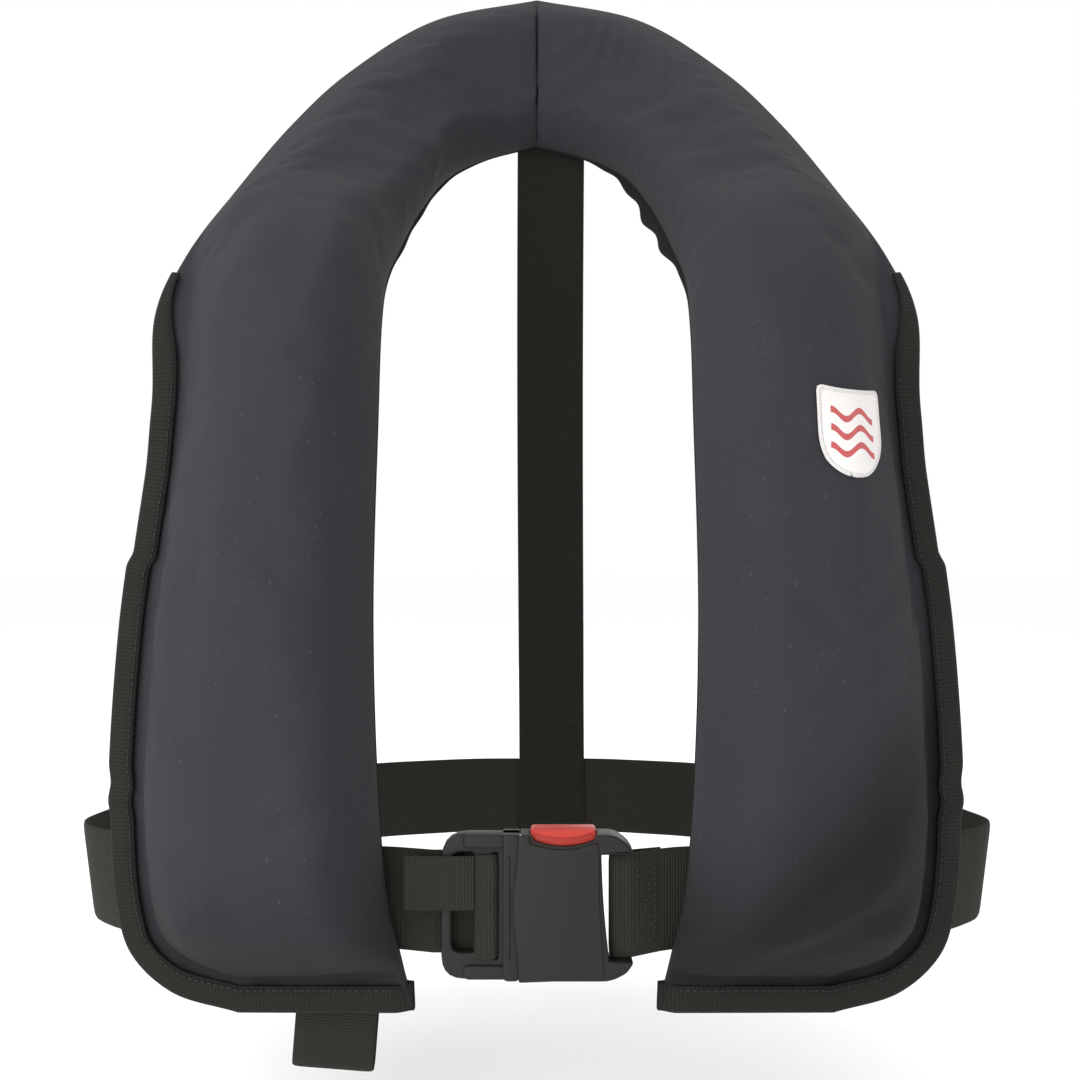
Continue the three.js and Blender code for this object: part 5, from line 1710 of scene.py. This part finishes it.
def area_light(name, place, aim, size, power):
    lamp = bpy.data.lights.new(name, "AREA")
    lamp.shape, lamp.size, lamp.energy = "DISK", size, power
    light = bpy.data.objects.new(name, lamp)
    light.location = place
    light.rotation_euler = (Vector(aim) - Vector(place)).to_track_quat("-Z", "Y").to_euler()
    bpy.context.scene.collection.objects.link(light)


def make_stage():
    """A round pale floor, four soft lights and a white world."""
    make_camera()
    maker = Maker()
    radii = np.array([0.0001, 0.5, 1, 2, 4, 9])
    turns = np.linspace(0, 2 * math.pi, 65)[:-1]
    rings = np.stack([
        radii[:, None] * np.cos(turns)[None], radii[:, None] * np.sin(turns)[None],
        np.full((len(radii), len(turns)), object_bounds()[0][2] - FLOOR_DROP),
    ], axis=-1)
    maker.tube(rings, capped=False)
    floor = maker.piece("studio_floor", "floor")
    floor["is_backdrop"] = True
    for light in LIGHTS:
        area_light(*light)
    scene = bpy.context.scene
    world = scene.world or bpy.data.worlds.new("studio")
    scene.world = world
    world.use_nodes = True
    ground = world.node_tree.nodes["Background"]
    ground.inputs["Color"].default_value = (1, 1, 1, 1)
    ground.inputs["Strength"].default_value = 1.0
    scene.view_settings.view_transform = "Standard"


# ------------------------------------------------------------------ operators and panel


class JACKET_OT_stage(bpy.types.Operator):
    """Set the floor, the lights and the camera"""

    bl_idname = "jacket.stage"
    bl_label = "Stage"

    def execute(self, context):
        make_stage()
        return {"FINISHED"}


class JACKET_OT_cover(bpy.types.Operator):
    """Sew the front cover and the lining against the body"""

    bl_idname = "jacket.cover"
    bl_label = "Cover"

    def execute(self, context):
        make_cover()
        make_lining()
        return {"FINISHED"}


class JACKET_OT_binding(bpy.types.Operator):
    """Fold the ribbed tape over the edges and stitch it"""

    bl_idname = "jacket.binding"
    bl_label = "Edge binding"

    def execute(self, context):
        make_bindings()
        return {"FINISHED"}


class JACKET_OT_badge(bpy.types.Operator):
    """Put the woven patch on the right lobe"""

    bl_idname = "jacket.badge"
    bl_label = "Badge"

    def execute(self, context):
        make_badge()
        return {"FINISHED"}


class JACKET_OT_bladder(bpy.types.Operator):
    """Fold the bladder and finish the fittings inside the cover"""

    bl_idname = "jacket.bladder"
    bl_label = "Bladder and fittings"

    def execute(self, context):
        make_bladder()
        finish_fittings()
        return {"FINISHED"}


class JACKET_OT_webbing(bpy.types.Operator):
    """Lay the waist belt, the back strap, the keepers and the crotch-strap loop"""

    bl_idname = "jacket.webbing"
    bl_label = "Belt and straps"

    def execute(self, context):
        make_waist_belt()
        make_adjustable_end()
        make_back_strap()
        make_crotch_loop()
        make_belt_guides()
        return {"FINISHED"}


class JACKET_OT_buckle(bpy.types.Operator):
    """Mould both halves of the buckle and its button, and wind the coil springs"""

    bl_idname = "jacket.buckle"
    bl_label = "Buckle"

    def execute(self, context):
        make_male_half()
        make_female_half()
        make_button()
        make_springs()
        return {"FINISHED"}


STEPS = (
    JACKET_OT_stage,
    JACKET_OT_cover,
    JACKET_OT_binding,
    JACKET_OT_badge,
    JACKET_OT_bladder,
    JACKET_OT_webbing,
    JACKET_OT_buckle,
)


class JACKET_PT_panel(bpy.types.Panel):
    """The jacket's sizes, colours and building steps"""

    bl_idname = "JACKET_PT_panel"
    bl_label = "Life Jacket"
    bl_space_type = "VIEW_3D"
    bl_region_type = "UI"
    bl_category = "Life Jacket"

    def draw(self, context):
        for group in (context.scene.jacket_sizes, context.scene.jacket_colours):
            box = self.layout.box()
            for name in group.__annotations__:
                box.prop(group, name)
        for step in STEPS:
            self.layout.operator(step.bl_idname)


CLASSES = (JacketSizes, JacketColours, *STEPS, JACKET_PT_panel)


def register():
    for cls in CLASSES:
        bpy.utils.register_class(cls)
    bpy.types.Scene.jacket_sizes = PointerProperty(type=JacketSizes)
    bpy.types.Scene.jacket_colours = PointerProperty(type=JacketColours)


def unregister():
    del bpy.types.Scene.jacket_colours
    del bpy.types.Scene.jacket_sizes
    for cls in reversed(CLASSES):
        bpy.utils.unregister_class(cls)


def main():
    register()
    bpy.ops.jacket.stage()
    bpy.ops.jacket.cover()
    bpy.ops.jacket.binding()
    bpy.ops.jacket.badge()
    bpy.ops.jacket.bladder()
    bpy.ops.jacket.webbing()
    bpy.ops.jacket.buckle()


if __name__ == "__main__":
    main()
